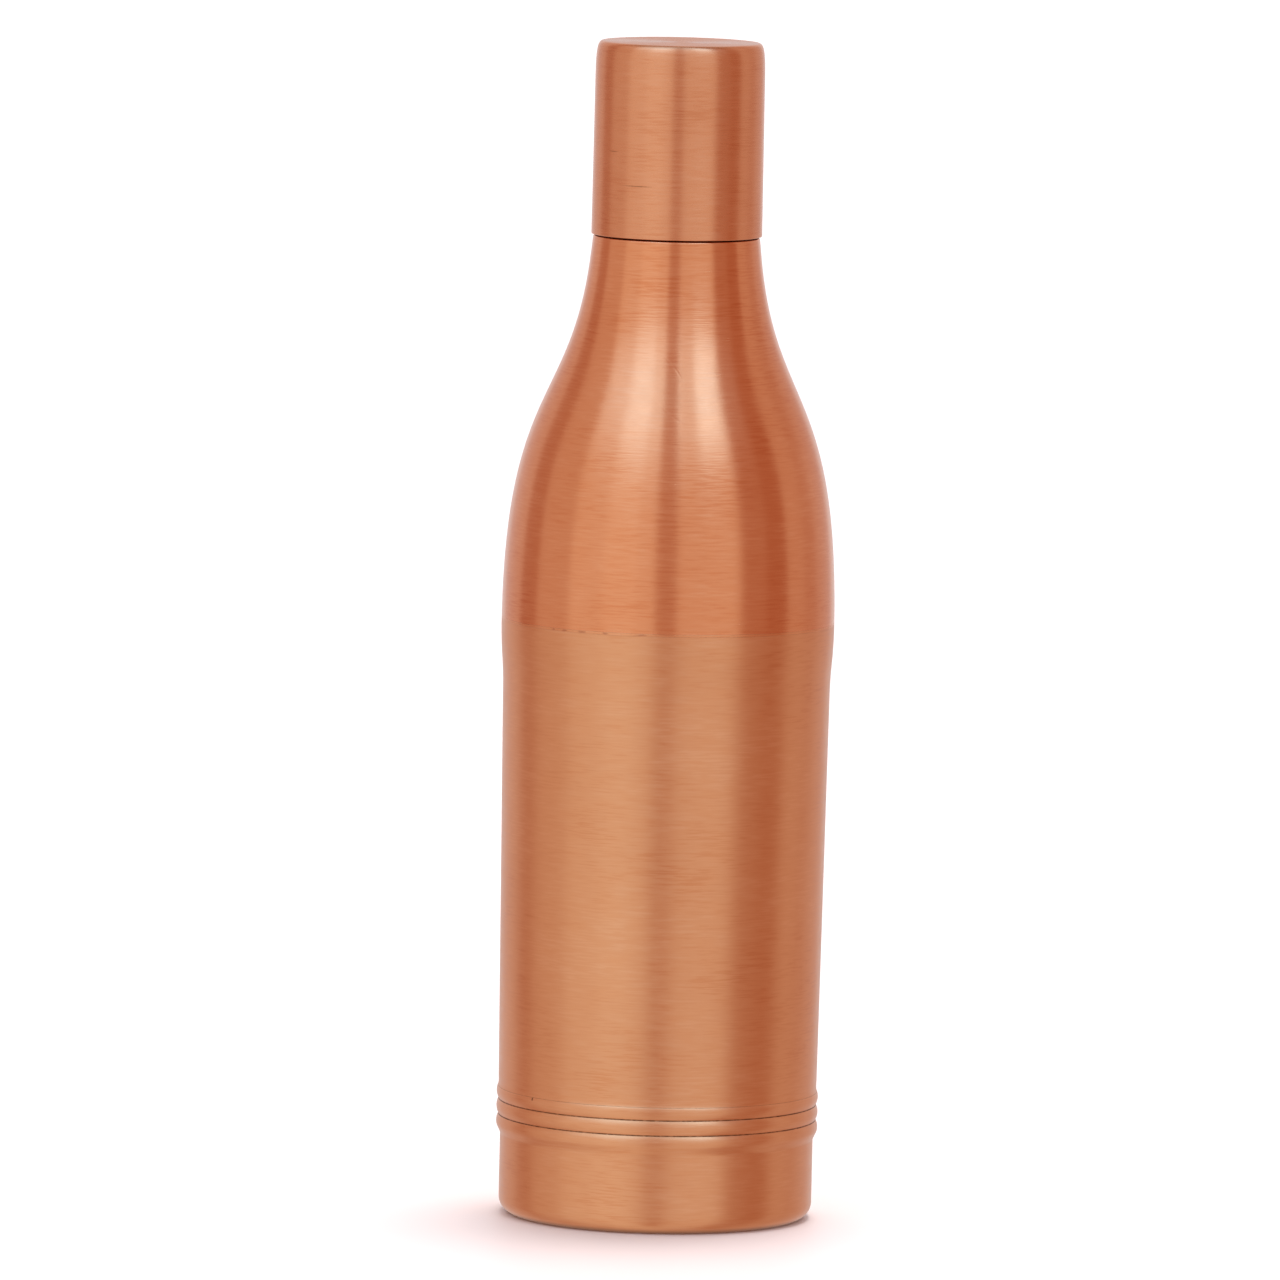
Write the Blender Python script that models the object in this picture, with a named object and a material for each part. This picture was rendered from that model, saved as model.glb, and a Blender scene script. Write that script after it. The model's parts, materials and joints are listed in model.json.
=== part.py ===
"""Copper water bottle with a screw cap.

Metres, +Z up. The origin is the centre of the foot, on the surface that the bottle stands on.
Every turned piece is one outline of (radius, height) points spun about the vertical axis. The
outlines run down the outer side, so that faces point outwards. The right-handed screw thread is
a ridge carried along a helix, joined to the neck ring outside and to the cap's sleeve inside.
"""

import math

import bmesh
import bpy
from mathutils import Matrix, Vector

# Fits and facets
FIT_GAP = 0.0003  # between two pieces that touch or are brazed
SEGMENTS = 40  # facets round each turned piece
SHOULDER_STEPS = 14
SMOOTH_ANGLE = math.radians(32)
MERGE_DISTANCE = 1e-6

# Copper sheet
SHEET = 0.0006

# Body, from the foot up
BODY_HEIGHT = 0.2381  # foot to the seat that the cap closes on
BAND_RADIUS = 0.0380  # plain band at the foot
BAND_TOP = 0.0178  # where the band starts to swell into the lowest bead
FOOT_CORNER = 0.0025
FOOT_FLANGE = 0.0025  # flat width of the turned-in foot
BEAD_COUNT = 3
BEAD_PITCH = 0.0037
BEAD_DEPTH = 0.00056
BEAD_SWELL = 0.00225  # height of the swell from the band to the lowest bead
BEAD_STEP = 0.0005  # valley between beads, outside the band
TUBE_STEP = 0.00062  # tube just above the beads, outside the band
TUBE_EASE = 0.0018  # height of the blend from the top bead's valley to the tube
TUBE_TOP_RADIUS = 0.03957  # tube where it starts to flare
TUBE_FLARE = 0.0185  # height of the flare below the body seam
SEAM_HEIGHT = 0.1450
BELLY_RADIUS = 0.04025  # widest, at the body seam
SEAM_LAP = 0.0055  # the lower shell's collar inside the upper shell
SEAM_FILLER = 0.0006  # height of the brazed ring in the body seam
SEAT_CORNER = 0.0006

# The shoulder is one Bezier curve. Its handles are shares of the shoulder's height and of the
# drop in radius from belly to neck, and a share of 1 is the full belly radius.
SHOULDER_HANDLES = ((0.0, 1.0), (0.291, 1.0), (0.702, 0.837), (0.510, 0.124), (0.94, 0.042), (1.0, 0.0))

# Base
BASE_RIM = 0.0032  # flat rim of the base disc
BASE_STEP = 0.0050  # height that the disc rises inside its rim
BASE_STEP_WIDTH = 0.0065
BASE_CROWN = 0.0008  # further rise to the centre
BASE_CROWN_SHARE = 0.75  # part of that rise reached half way in from the step
BASE_FILLER = 0.0016

# Neck ring and screw thread
MOUTH_RADIUS = 0.0143
NECK_RING_WALL = 0.0014
NECK_SPIGOT = 0.0046  # length below the seat
NECK_FILLER = 0.0016
COLLAR_HEIGHT = 0.0015
COLLAR_PROUD = 0.0011  # collar beyond the thread's crest
THREAD_DEPTH = 0.0012
THREAD_LEAD = 0.0050
THREAD_TURNS = 2.0
THREAD_ROOT_WIDTH = 0.0030
THREAD_FLANK = 0.0007  # width lost on each flank from root to crest
THREAD_RADIAL_GAP = 0.00035
THREAD_AXIAL_GAP = 0.0004
THREAD_SUNK = 0.0004  # ridge carried into its wall before the two are joined
THREAD_RUN_OUT = 0.25  # turn over which each end of the ridge fades
THREAD_START = 0.0031  # collar to the middle of the ridge's lower end
MOUTH_LAND = 0.0050  # plain ring above the thread's upper end

# Cap
CAP_HEIGHT = 0.0466
CAP_GAP = 0.0003  # cap's mouth to the seat
CAP_OVERHANG = 0.00045  # cap beyond the neck
CAP_TAPER = 0.00017  # radius lost from mouth to shoulder
CAP_MOUTH_CORNER = 0.0004
CAP_EDGE_HEIGHT = 0.0100  # height of the cap's rounded top edge
CAP_EDGE_WIDTH = 0.0019  # radius lost over it
CAP_EDGE_SQUARENESS = 0.15  # share of the edge's height left above its lower handle
CAP_EDGE_FALL = 0.2  # share of the edge's width before its upper handle
SLEEVE_WALL = 0.0009
SLEEVE_SPACE = 0.0019  # sleeve to the cap's shell
SLEEVE_LIFT = 0.0006  # sleeve's mouth above the neck ring's collar
SLEEVE_FILLER = 0.0010
GASKET_THICKNESS = 0.0020
GASKET_WIDTH = 0.00525
GASKET_SIDE_GAP = 0.0005

# Sizes that follow from those above
THREAD_ROOT = MOUTH_RADIUS + NECK_RING_WALL
THREAD_CREST = THREAD_ROOT + THREAD_DEPTH
COLLAR_RADIUS = THREAD_CREST + COLLAR_PROUD
SLEEVE_BORE = THREAD_CREST + THREAD_RADIAL_GAP
SLEEVE_CREST = THREAD_ROOT + THREAD_RADIAL_GAP
SLEEVE_RADIUS = SLEEVE_BORE + SLEEVE_WALL
CAP_BORE = SLEEVE_RADIUS + SLEEVE_SPACE
CAP_RADIUS = CAP_BORE + SHEET
NECK_RADIUS = CAP_RADIUS - CAP_OVERHANG
SEAT_HOLE = THREAD_ROOT + FIT_GAP
CAP_BASE = BODY_HEIGHT + CAP_GAP
COLLAR_TOP = BODY_HEIGHT + FIT_GAP + COLLAR_HEIGHT
THREAD_BOTTOM = COLLAR_TOP + THREAD_START
MOUTH_TOP = THREAD_BOTTOM + THREAD_TURNS * THREAD_LEAD + MOUTH_LAND
SLEEVE_BASE = COLLAR_TOP + FIT_GAP + SLEEVE_LIFT
GASKET_BASE = MOUTH_TOP + FIT_GAP
SLEEVE_CEILING = GASKET_BASE + GASKET_THICKNESS + FIT_GAP
SLEEVE_FLANGE = CAP_BORE - FIT_GAP
LAP_RADIUS = BELLY_RADIUS - SHEET - FIT_GAP
SEAM_LOW = SEAM_HEIGHT - SEAM_FILLER / 2 - FIT_GAP
SEAM_HIGH = SEAM_HEIGHT + SEAM_FILLER / 2 + FIT_GAP
LAP_TOP = SEAM_HIGH + SEAM_LAP
BEADS_BOTTOM = BAND_TOP + BEAD_SWELL
BEADS_TOP = BEADS_BOTTOM + BEAD_COUNT * BEAD_PITCH
VALLEY_RADIUS = BAND_RADIUS + BEAD_STEP
TUBE_RADIUS = BAND_RADIUS + TUBE_STEP


# Outlines


def arc(centre, radius, start_deg, end_deg, steps):
    """Points on an arc, both ends included. Angles are from the +radius direction, towards +height."""
    points = []
    for i in range(steps + 1):
        angle = math.radians(start_deg + (end_deg - start_deg) * i / steps)
        points.append((centre[0] + radius * math.cos(angle), centre[1] + radius * math.sin(angle)))
    return points


def bezier(controls, steps):
    """Points on a Bezier curve of any degree, both ends included."""
    degree = len(controls) - 1
    points = []
    for i in range(steps + 1):
        t = i / steps
        weights = [math.comb(degree, k) * t**k * (1 - t) ** (degree - k) for k in range(degree + 1)]
        points.append(tuple(sum(w * c[axis] for w, c in zip(weights, controls)) for axis in (0, 1)))
    return points


def eased(start, end, steps):
    """Points from start to end on an S-curve that leaves and arrives vertically."""
    middle = (start[1] + end[1]) / 2
    return bezier((start, (start[0], middle), (end[0], middle), end), steps)


def inside_of(outline, wall):
    """The outline moved square to itself by the wall, towards the axis, as the inside of a sheet."""
    points = []
    for i, (radius, height) in enumerate(outline):
        before = outline[max(i - 1, 0)]
        after = outline[min(i + 1, len(outline) - 1)]
        run = Vector((after[0] - before[0], after[1] - before[1])).normalized()
        points.append((radius - run.y * wall, height + run.x * wall))
    return points


def bead_arcs(steps):
    """The rolled beads, bottom to top: equal arcs that meet in sharp valleys."""
    bead_radius = BEAD_PITCH**2 / (8 * BEAD_DEPTH) + BEAD_DEPTH / 2
    half_angle = math.degrees(math.asin(BEAD_PITCH / 2 / bead_radius))
    centre_radius = VALLEY_RADIUS + BEAD_DEPTH - bead_radius
    points = []
    for i in range(BEAD_COUNT):
        centre = (centre_radius, BEADS_BOTTOM + (i + 0.5) * BEAD_PITCH)
        points += arc(centre, bead_radius, -half_angle, half_angle, steps)[:-1]
    return points


def wall_outline(detail):
    """Outside of the lower shell from the band to the body seam, bottom to top."""
    points = [(BAND_RADIUS, FOOT_CORNER), (BAND_RADIUS, (FOOT_CORNER + BAND_TOP) / 2)]
    swell = ((BAND_RADIUS, BAND_TOP), (BAND_RADIUS, BEADS_BOTTOM), (VALLEY_RADIUS, BEADS_BOTTOM))
    points += bezier(swell, detail)[:-1]
    points += bead_arcs(2 * detail)
    tube_bottom = (TUBE_RADIUS, BEADS_TOP + TUBE_EASE)
    flare_bottom = (TUBE_TOP_RADIUS, SEAM_LOW - TUBE_FLARE)
    points += eased((VALLEY_RADIUS, BEADS_TOP), tube_bottom, detail)[:-1]
    points.append(tube_bottom)
    points += eased(flare_bottom, (BELLY_RADIUS, SEAM_LOW), 3 * detail)
    return points


def shoulder_outline(steps):
    """Outside of the shoulder and neck from the body seam to the seat's corner, bottom to top."""
    top = BODY_HEIGHT - SEAT_CORNER
    controls = [
        (NECK_RADIUS + (BELLY_RADIUS - NECK_RADIUS) * drop, SEAM_HIGH + (top - SEAM_HIGH) * rise)
        for rise, drop in SHOULDER_HANDLES
    ]
    return bezier(controls, steps)


def radius_at(outline, height):
    """Radius of an outline that runs bottom to top, at a height."""
    for low, high in zip(outline, outline[1:]):
        if low[1] <= height <= high[1]:
            return low[0] + (high[0] - low[0]) * (height - low[1]) / (high[1] - low[1])
    return outline[-1][0]


def cap_edge_outline(steps):
    """Rounded top edge of the cap, bottom to top."""
    side = CAP_RADIUS - CAP_TAPER
    low = CAP_HEIGHT - CAP_EDGE_HEIGHT
    face = side - CAP_EDGE_WIDTH
    controls = (
        (side, low),
        (side, CAP_HEIGHT - CAP_EDGE_SQUARENESS * CAP_EDGE_HEIGHT),
        (side - CAP_EDGE_FALL * CAP_EDGE_WIDTH, CAP_HEIGHT),
        (face, CAP_HEIGHT),
    )
    return bezier(controls, steps)


# Solids


def finish(name, colour, roughness, metallic=1):
    """A Principled material."""
    material = bpy.data.materials.new(name)
    material.use_nodes = True
    shader = material.node_tree.nodes["Principled BSDF"]
    shader.inputs["Base Color"].default_value = (*colour, 1)
    shader.inputs["Metallic"].default_value = metallic
    shader.inputs["Roughness"].default_value = roughness
    material.diffuse_color = (*colour, 1)
    return material


def add_object(name, mesh, frame, material):
    """Links a mesh to the scene under the empty whose height it was modelled from."""
    piece = bpy.data.objects.new(name, mesh)
    bpy.context.collection.objects.link(piece)
    piece.parent = frame
    mesh.materials.append(material)
    return piece


def turned(name, outline, frame, material, closed=True):
    """Spins an outline of (radius, height above the frame) about the axis.

    A closed outline makes a ring. An open one starts and ends on the axis and makes a solid of
    revolution.
    """
    shape = bmesh.new()
    corners = [shape.verts.new((radius, 0, height)) for radius, height in outline]
    pairs = list(zip(corners, corners[1:]))
    if closed:
        pairs.append((corners[-1], corners[0]))
    edges = [shape.edges.new(pair) for pair in pairs]
    bmesh.ops.spin(
        shape,
        geom=corners + edges,
        axis=(0, 0, 1),
        cent=(0, 0, 0),
        angle=math.tau,
        steps=SEGMENTS,
        use_merge=True,
    )
    bmesh.ops.remove_doubles(shape, verts=shape.verts, dist=MERGE_DISTANCE)
    bmesh.ops.recalc_face_normals(shape, faces=shape.faces)
    mesh = bpy.data.meshes.new(name)
    shape.to_mesh(mesh)
    shape.free()
    mesh.shade_smooth()
    mesh.set_sharp_from_angle(angle=SMOOTH_ANGLE)
    return add_object(name, mesh, frame, material)


def thread_ridge(name, root, crest, root_half, bottom, first_turn, frame, material):
    """A tapered ridge along a right-handed helix, to be joined to the wall at radius root.

    It climbs one lead a turn from bottom, and starts first_turn turns round from +X. Its root is
    sunk in the wall, and its crest sinks into the wall too over the run-out at each end. Its
    sections stand half a facet off the wall's own corners, so that no two edges coincide.
    """
    outward = math.copysign(1, crest - root)
    crest_half = root_half - THREAD_FLANK
    sunk_root = root - outward * THREAD_SUNK
    sunk_half = root_half + THREAD_FLANK * THREAD_SUNK / THREAD_DEPTH
    steps = round(THREAD_TURNS * SEGMENTS)
    shape = bmesh.new()
    sections = []
    for i in range(steps + 1):
        turn = THREAD_TURNS * i / steps
        height = bottom + THREAD_LEAD * turn
        from_end = min(turn, THREAD_TURNS - turn)
        rise = min(from_end / THREAD_RUN_OUT, 1)
        share = rise * rise * (3 - 2 * rise)  # smooth from 0 to 1
        tip = root - outward * THREAD_SUNK / 2
        tip += (crest - tip) * share
        corners = (
            (sunk_root, -sunk_half),
            (tip, -crest_half),
            (tip, crest_half),
            (sunk_root, sunk_half),
        )
        spin = Matrix.Rotation(math.tau * (turn + first_turn + 0.5 / SEGMENTS), 3, "Z")
        sections.append([shape.verts.new(spin @ Vector((r, 0, height + z))) for r, z in corners])
    for low, high in zip(sections, sections[1:]):
        for k in range(len(low)):
            after = (k + 1) % len(low)
            shape.faces.new((low[k], low[after], high[after], high[k]))
    shape.faces.new(sections[0])
    shape.faces.new(reversed(sections[-1]))
    bmesh.ops.recalc_face_normals(shape, faces=shape.faces)
    mesh = bpy.data.meshes.new(name)
    shape.to_mesh(mesh)
    shape.free()
    ridge = add_object(name, mesh, frame, material)
    ridge.hide_render = True
    ridge.display_type = "WIRE"
    return ridge


def join_ridge(piece, ridge):
    """Joins a thread ridge to the wall that it is sunk in."""
    union = piece.modifiers.new("thread", "BOOLEAN")
    union.operation = "UNION"
    union.solver = "EXACT"
    union.object = ridge


# Pieces


def lower_shell(frame, material):
    """Foot, plain band, rolled beads and tube, with the collar that laps inside the upper shell."""
    corner = (BAND_RADIUS - FOOT_CORNER, FOOT_CORNER)
    flange = corner[0] - FOOT_FLANGE
    lap_top = radius_at(shoulder_outline(SHOULDER_STEPS), LAP_TOP) - SHEET - FIT_GAP
    outline = [(lap_top, LAP_TOP), (LAP_RADIUS, SEAM_LOW)]
    outline += reversed(wall_outline(2))
    outline += arc(corner, FOOT_CORNER, 0, -90, 4)[1:]
    outline += [(flange, 0), (flange, SHEET)]
    outline += arc(corner, FOOT_CORNER - SHEET, -90, 0, 3)
    outline += inside_of(wall_outline(1), SHEET)[1:-1]
    outline += [(LAP_RADIUS - SHEET, SEAM_LOW), (lap_top - SHEET, LAP_TOP)]
    return turned("lower_shell", outline, frame, material)


def upper_shell(frame, material):
    """Shoulder and neck, closed by the flat seat that holds the neck ring."""
    inside = inside_of(shoulder_outline(SHOULDER_STEPS // 2 + 2), SHEET)
    corner = (NECK_RADIUS - SEAT_CORNER, BODY_HEIGHT - SEAT_CORNER)
    outline = [(SEAT_HOLE, BODY_HEIGHT)]
    outline += arc(corner, SEAT_CORNER, 90, 0, 3)[:-1]
    outline += reversed(shoulder_outline(SHOULDER_STEPS))
    outline += [(BELLY_RADIUS - SHEET, SEAM_HIGH)]
    outline += inside[1:-1]
    outline += [(NECK_RADIUS - SHEET, BODY_HEIGHT - SHEET), (SEAT_HOLE, BODY_HEIGHT - SHEET)]
    return turned("upper_shell", outline, frame, material)


def body_seam_braze(frame, material):
    """Filler metal between the two shells, round the lower shell's collar."""
    low = SEAM_LOW + FIT_GAP
    high = SEAM_HIGH - FIT_GAP
    inner = LAP_RADIUS + FIT_GAP
    outline = [(inner, high), (BELLY_RADIUS, high), (BELLY_RADIUS, low), (inner, low)]
    return turned("body_seam_braze", outline, frame, material)


def foot_inside(height):
    """Radius inside the foot at a height, on its corner's arc or on the band above it."""
    corner = FOOT_CORNER - SHEET
    drop = min(max(FOOT_CORNER - height, 0), corner)
    return BAND_RADIUS - FOOT_CORNER + math.sqrt(corner**2 - drop**2)


def base_disc(frame, material):
    """Dished bottom, pressed in to rest on the foot's flange, with its centre clear of the table."""
    under = SHEET + FIT_GAP
    rim = foot_inside(under) - 2 * FIT_GAP
    step_out = rim - BASE_RIM
    step_in = step_out - BASE_STEP_WIDTH
    middle = (step_out + step_in) / 2
    dish = under + BASE_STEP
    bottom = [(rim, under)]
    bottom += bezier(((step_out, under), (middle, under), (middle, dish), (step_in, dish)), 5)
    bottom += [(step_in / 2, dish + BASE_CROWN_SHARE * BASE_CROWN), (0, dish + BASE_CROWN)]
    top = [(radius, height + SHEET) for radius, height in reversed(bottom)]
    return turned("base_disc", top + bottom, frame, material, closed=False)


def base_braze(frame, material):
    """Filler metal in the corner between the base disc's rim and the wall."""
    low = 2 * (SHEET + FIT_GAP)
    outer = foot_inside(low) - FIT_GAP
    outline = [(outer, low + BASE_FILLER), (outer, low), (outer - BASE_FILLER, low)]
    return turned("base_braze", outline, frame, material)


def neck_ring(frame, material):
    """Mouth and outer thread: a turned ring whose spigot passes through the seat."""
    lip = NECK_RING_WALL / 2
    bottom = BODY_HEIGHT - NECK_SPIGOT
    outline = arc((MOUTH_RADIUS + lip, MOUTH_TOP - lip), lip, 180, 0, 6)
    outline += [(THREAD_ROOT, COLLAR_TOP), (COLLAR_RADIUS, COLLAR_TOP)]
    outline += [(COLLAR_RADIUS, BODY_HEIGHT + FIT_GAP), (THREAD_ROOT, BODY_HEIGHT + FIT_GAP)]
    outline += [(THREAD_ROOT, bottom), (MOUTH_RADIUS, bottom)]
    ring = turned("neck_ring", outline, frame, material)
    half = THREAD_ROOT_WIDTH / 2
    ridge = thread_ridge(
        "neck_ring_thread", THREAD_ROOT, THREAD_CREST, half, THREAD_BOTTOM, 0, frame, material
    )
    join_ridge(ring, ridge)
    return ring


def neck_braze(frame, material):
    """Filler metal under the seat, round the neck ring's spigot."""
    high = BODY_HEIGHT - SHEET - FIT_GAP
    inner = SEAT_HOLE
    outline = [(inner, high), (inner + NECK_FILLER, high), (inner, high - NECK_FILLER)]
    return turned("neck_braze", outline, frame, material)


def cap_shell(frame, material):
    """Outer cup of the cap, drawn in one piece."""
    edge = cap_edge_outline(7)
    mouth_corner = (CAP_RADIUS - CAP_MOUTH_CORNER, CAP_MOUTH_CORNER)
    outline = [(0, CAP_HEIGHT)]
    outline += reversed(edge)
    outline += arc(mouth_corner, CAP_MOUTH_CORNER, 0, -90, 3)
    outline += [(CAP_BORE, 0)]
    outline += inside_of(cap_edge_outline(4), SHEET)
    outline += [(0, CAP_HEIGHT - SHEET)]
    return turned("cap_shell", outline, frame, material, closed=False)


def cap_sleeve(frame, material):
    """Inner cup of the cap, which carries the inner thread and closes over the mouth."""
    bottom = SLEEVE_BASE - CAP_BASE
    ceiling = SLEEVE_CEILING - CAP_BASE
    corner = (SLEEVE_RADIUS - SLEEVE_WALL, ceiling)
    outline = [(0, ceiling + SLEEVE_WALL)]
    outline += arc(corner, SLEEVE_WALL, 90, 0, 3)
    outline += [(SLEEVE_RADIUS, bottom + SLEEVE_WALL), (SLEEVE_FLANGE, bottom + SLEEVE_WALL)]
    outline += [(SLEEVE_FLANGE, bottom), (SLEEVE_BORE, bottom)]
    outline += [(SLEEVE_BORE, ceiling), (0, ceiling)]
    sleeve = turned("cap_sleeve", outline, frame, material, closed=False)
    # The inner ridge fills the space between the turns of the outer one, less the axial gap.
    overlap = SLEEVE_BORE - THREAD_ROOT
    flanks = THREAD_FLANK * overlap / THREAD_DEPTH
    half = THREAD_LEAD / 2 - THREAD_ROOT_WIDTH / 2 + flanks - THREAD_AXIAL_GAP
    ridge = thread_ridge(
        "cap_sleeve_thread",
        SLEEVE_BORE,
        SLEEVE_CREST,
        half,
        THREAD_BOTTOM - CAP_BASE,
        -0.5,
        frame,
        material,
    )
    join_ridge(sleeve, ridge)
    return sleeve


def sleeve_braze(frame, material):
    """Filler metal under the sleeve's flange, round the inside of the cap's mouth."""
    high = SLEEVE_BASE - CAP_BASE - FIT_GAP
    outer = SLEEVE_FLANGE
    outline = [(outer, high), (outer, high - SLEEVE_FILLER), (outer - SLEEVE_FILLER, high)]
    return turned("sleeve_braze", outline, frame, material)


def cap_gasket(frame, material):
    """Flat washer between the mouth and the sleeve's ceiling."""
    outer = SLEEVE_BORE - GASKET_SIDE_GAP
    inner = outer - GASKET_WIDTH
    outline = [(inner, GASKET_THICKNESS), (outer, GASKET_THICKNESS), (outer, 0), (inner, 0)]
    return turned("cap_gasket", outline, frame, material)


def axis_frame(name, height, parent=None):
    """An empty on the bottle's axis."""
    frame = bpy.data.objects.new(name, None)
    bpy.context.collection.objects.link(frame)
    frame.location.z = height - (parent.location.z if parent else 0)
    frame.parent = parent
    return frame


def clear_scene():
    """Removes every object of the starting scene."""
    for item in list(bpy.data.objects):
        bpy.data.objects.remove(item, do_unlink=True)


def main():
    clear_scene()
    body_copper = finish("body_copper", (0.74, 0.37, 0.22), 0.34)
    shoulder_copper = finish("shoulder_copper", (0.78, 0.36, 0.21), 0.28)
    cap_copper = finish("cap_copper", (0.78, 0.42, 0.29), 0.33)
    inner_copper = finish("inner_copper", (0.70, 0.36, 0.24), 0.42)
    filler = finish("filler", (0.62, 0.36, 0.20), 0.5)
    washer = finish("washer", (0.80, 0.80, 0.78), 0.45, metallic=0)

    bottle = axis_frame("bottle", 0)
    lower_shell(bottle, body_copper)
    upper_shell(bottle, shoulder_copper)
    body_seam_braze(bottle, filler)
    base_disc(bottle, inner_copper)
    base_braze(bottle, filler)
    neck_ring(bottle, inner_copper)
    neck_braze(bottle, filler)

    gasket_frame = axis_frame("gasket_frame", GASKET_BASE)
    cap_gasket(gasket_frame, washer)

    cap = axis_frame("cap", CAP_BASE)
    cap_shell(cap, cap_copper)
    cap_sleeve(cap, inner_copper)
    sleeve_braze(cap, filler)


main()
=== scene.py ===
"""Looks of a copper water bottle with a screw cap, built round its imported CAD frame.

Metres, +Z up, with the bottle's axis on Z and its foot on the floor. Every piece is a turned
surface: an outline of (radius, height) points carried round the axis on a grid, worked out as whole
arrays. Each stands for the CAD node of the same name and rides on that node's body.
"""

import json
import logging
import math
from dataclasses import dataclass
from enum import Enum

import bpy
import numpy as np
from mathutils import Matrix, Vector


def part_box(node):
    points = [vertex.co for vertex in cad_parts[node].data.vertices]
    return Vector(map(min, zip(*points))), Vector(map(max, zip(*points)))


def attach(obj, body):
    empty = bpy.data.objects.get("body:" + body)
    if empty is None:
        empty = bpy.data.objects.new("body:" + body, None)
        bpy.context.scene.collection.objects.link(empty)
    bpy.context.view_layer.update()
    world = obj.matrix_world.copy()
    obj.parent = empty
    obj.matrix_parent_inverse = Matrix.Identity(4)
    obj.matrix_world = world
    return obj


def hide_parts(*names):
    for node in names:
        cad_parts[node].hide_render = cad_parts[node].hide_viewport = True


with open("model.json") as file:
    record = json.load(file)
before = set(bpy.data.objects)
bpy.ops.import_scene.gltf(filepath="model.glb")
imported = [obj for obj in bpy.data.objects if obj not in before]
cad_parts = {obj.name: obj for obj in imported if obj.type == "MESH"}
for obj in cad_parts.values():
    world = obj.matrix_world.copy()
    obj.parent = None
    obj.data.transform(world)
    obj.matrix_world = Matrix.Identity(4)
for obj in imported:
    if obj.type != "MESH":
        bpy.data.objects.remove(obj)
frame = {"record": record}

LOG = logging.getLogger("bottle")
MM = 0.001
WHITE = (1.0, 1.0, 1.0)

Corner = tuple[float, float, float]
Colour = tuple[float, float, float]


# Outlines: arrays with a row for each point, holding its radius and height


class Ends(Enum):
    """How an outline closes before it is turned."""

    RING = "the last point joins the first"
    POLES = "both ends stand on the axis"


def smooth(share: np.ndarray) -> np.ndarray:
    """Clipped to 0..1 and eased at both ends: 3 s squared less 2 s cubed."""
    s = np.clip(share, 0, 1)
    return s * s * (3 - 2 * s)


def bezier(controls: list[tuple[float, float]], steps: int) -> np.ndarray:
    """A Bezier curve of any degree.

    The point at t is the sum of the control points, each weighted by its Bernstein polynomial.

    Args:
        controls: (radius, height) of each control point.
        steps: number of steps from the first point to the last.

    Returns:
        An outline of steps + 1 points.
    """
    t = np.linspace(0, 1, steps + 1)[:, None]
    degree = len(controls) - 1
    order = np.arange(degree + 1)
    ways = np.array([math.comb(degree, k) for k in order])
    return (ways * t**order * (1 - t) ** (degree - order)) @ np.array(controls)


def eased(start: tuple[float, float], end: tuple[float, float], steps: int) -> np.ndarray:
    """An S-curve that leaves start and arrives at end vertically, as a cubic Bezier curve."""
    middle = (start[1] + end[1]) / 2
    return bezier([start, (start[0], middle), (end[0], middle), end], steps)


def rounded(corners: list[Corner], closed: bool = False, steps: int = 5) -> np.ndarray:
    """A run of straight lines whose corners are rounded by arcs.

    At a corner that turns by an angle, the arc of radius f touches both lines at f tan(angle / 2)
    from the corner.

    Args:
        corners: (radius, height, fillet radius) of each corner; a fillet of 0 keeps it sharp.
        closed: whether the last corner joins the first.
        steps: number of steps in each arc.

    Returns:
        The outline.
    """
    places = np.array([c[:2] for c in corners])
    points = []
    for i, (place, fillet) in enumerate(zip(places, (c[2] for c in corners))):
        at_end = not closed and i in (0, len(places) - 1)
        if fillet == 0 or at_end:
            points.append(place[None])
            continue
        before = place - places[i - 1]
        after = places[(i + 1) % len(places)] - place
        before, after = before / np.hypot(*before), after / np.hypot(*after)
        turn = math.atan2(before[0] * after[1] - before[1] * after[0], before @ after)
        reach = fillet * math.tan(abs(turn) / 2)
        left = np.array([-before[1], before[0]]) * math.copysign(1, turn)
        angles = np.linspace(0, turn, steps + 1)[:, None]
        spin = -left * np.cos(angles) + before * np.sin(np.abs(angles))
        points.append(place - before * reach + left * fillet + spin * fillet)
    return np.concatenate(points)


def inside_of(outline: np.ndarray, wall: float) -> np.ndarray:
    """The outline moved square to itself, to the left of the way that it runs.

    Args:
        outline: the outline.
        wall: how far it is moved.

    Returns:
        The inner outline.
    """
    run = np.gradient(outline, axis=0)
    run /= np.hypot(*run.T)[:, None]
    return outline + wall * np.column_stack((-run[:, 1], run[:, 0]))


def spaced(outline: np.ndarray, pitch: float) -> np.ndarray:
    """The outline with points added, so that no step is longer than the pitch.

    Each step is split into equal parts, and the new points are read off by arc length.

    Args:
        outline: the outline.
        pitch: the longest step.

    Returns:
        The finer outline.
    """
    steps = np.hypot(*np.diff(outline[:, :2], axis=0).T)
    outline = outline[np.append(steps > 1e-8, True)]
    steps = steps[steps > 1e-8]
    along = np.append(0, np.cumsum(steps))
    parts = np.maximum(np.ceil(steps / pitch).astype(int), 1)
    first = np.cumsum(parts) - parts
    share = (np.arange(parts.sum()) - np.repeat(first, parts)) / np.repeat(parts, parts)
    places = np.append(np.repeat(along[:-1], parts) + share * np.repeat(steps, parts), along[-1])
    return np.column_stack([np.interp(places, along, column) for column in outline.T])


class Face(Enum):
    """How a stretch of an outline is worked."""

    POLISHED = 0
    BARE = 1


def joined(*stretches: tuple[np.ndarray, Face]) -> np.ndarray:
    """Stretches as one outline, whose third column tells the bare ones."""
    return np.concatenate([np.insert(points, 2, face.value, axis=1) for points, face in stretches])


# Turned surfaces


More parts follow.
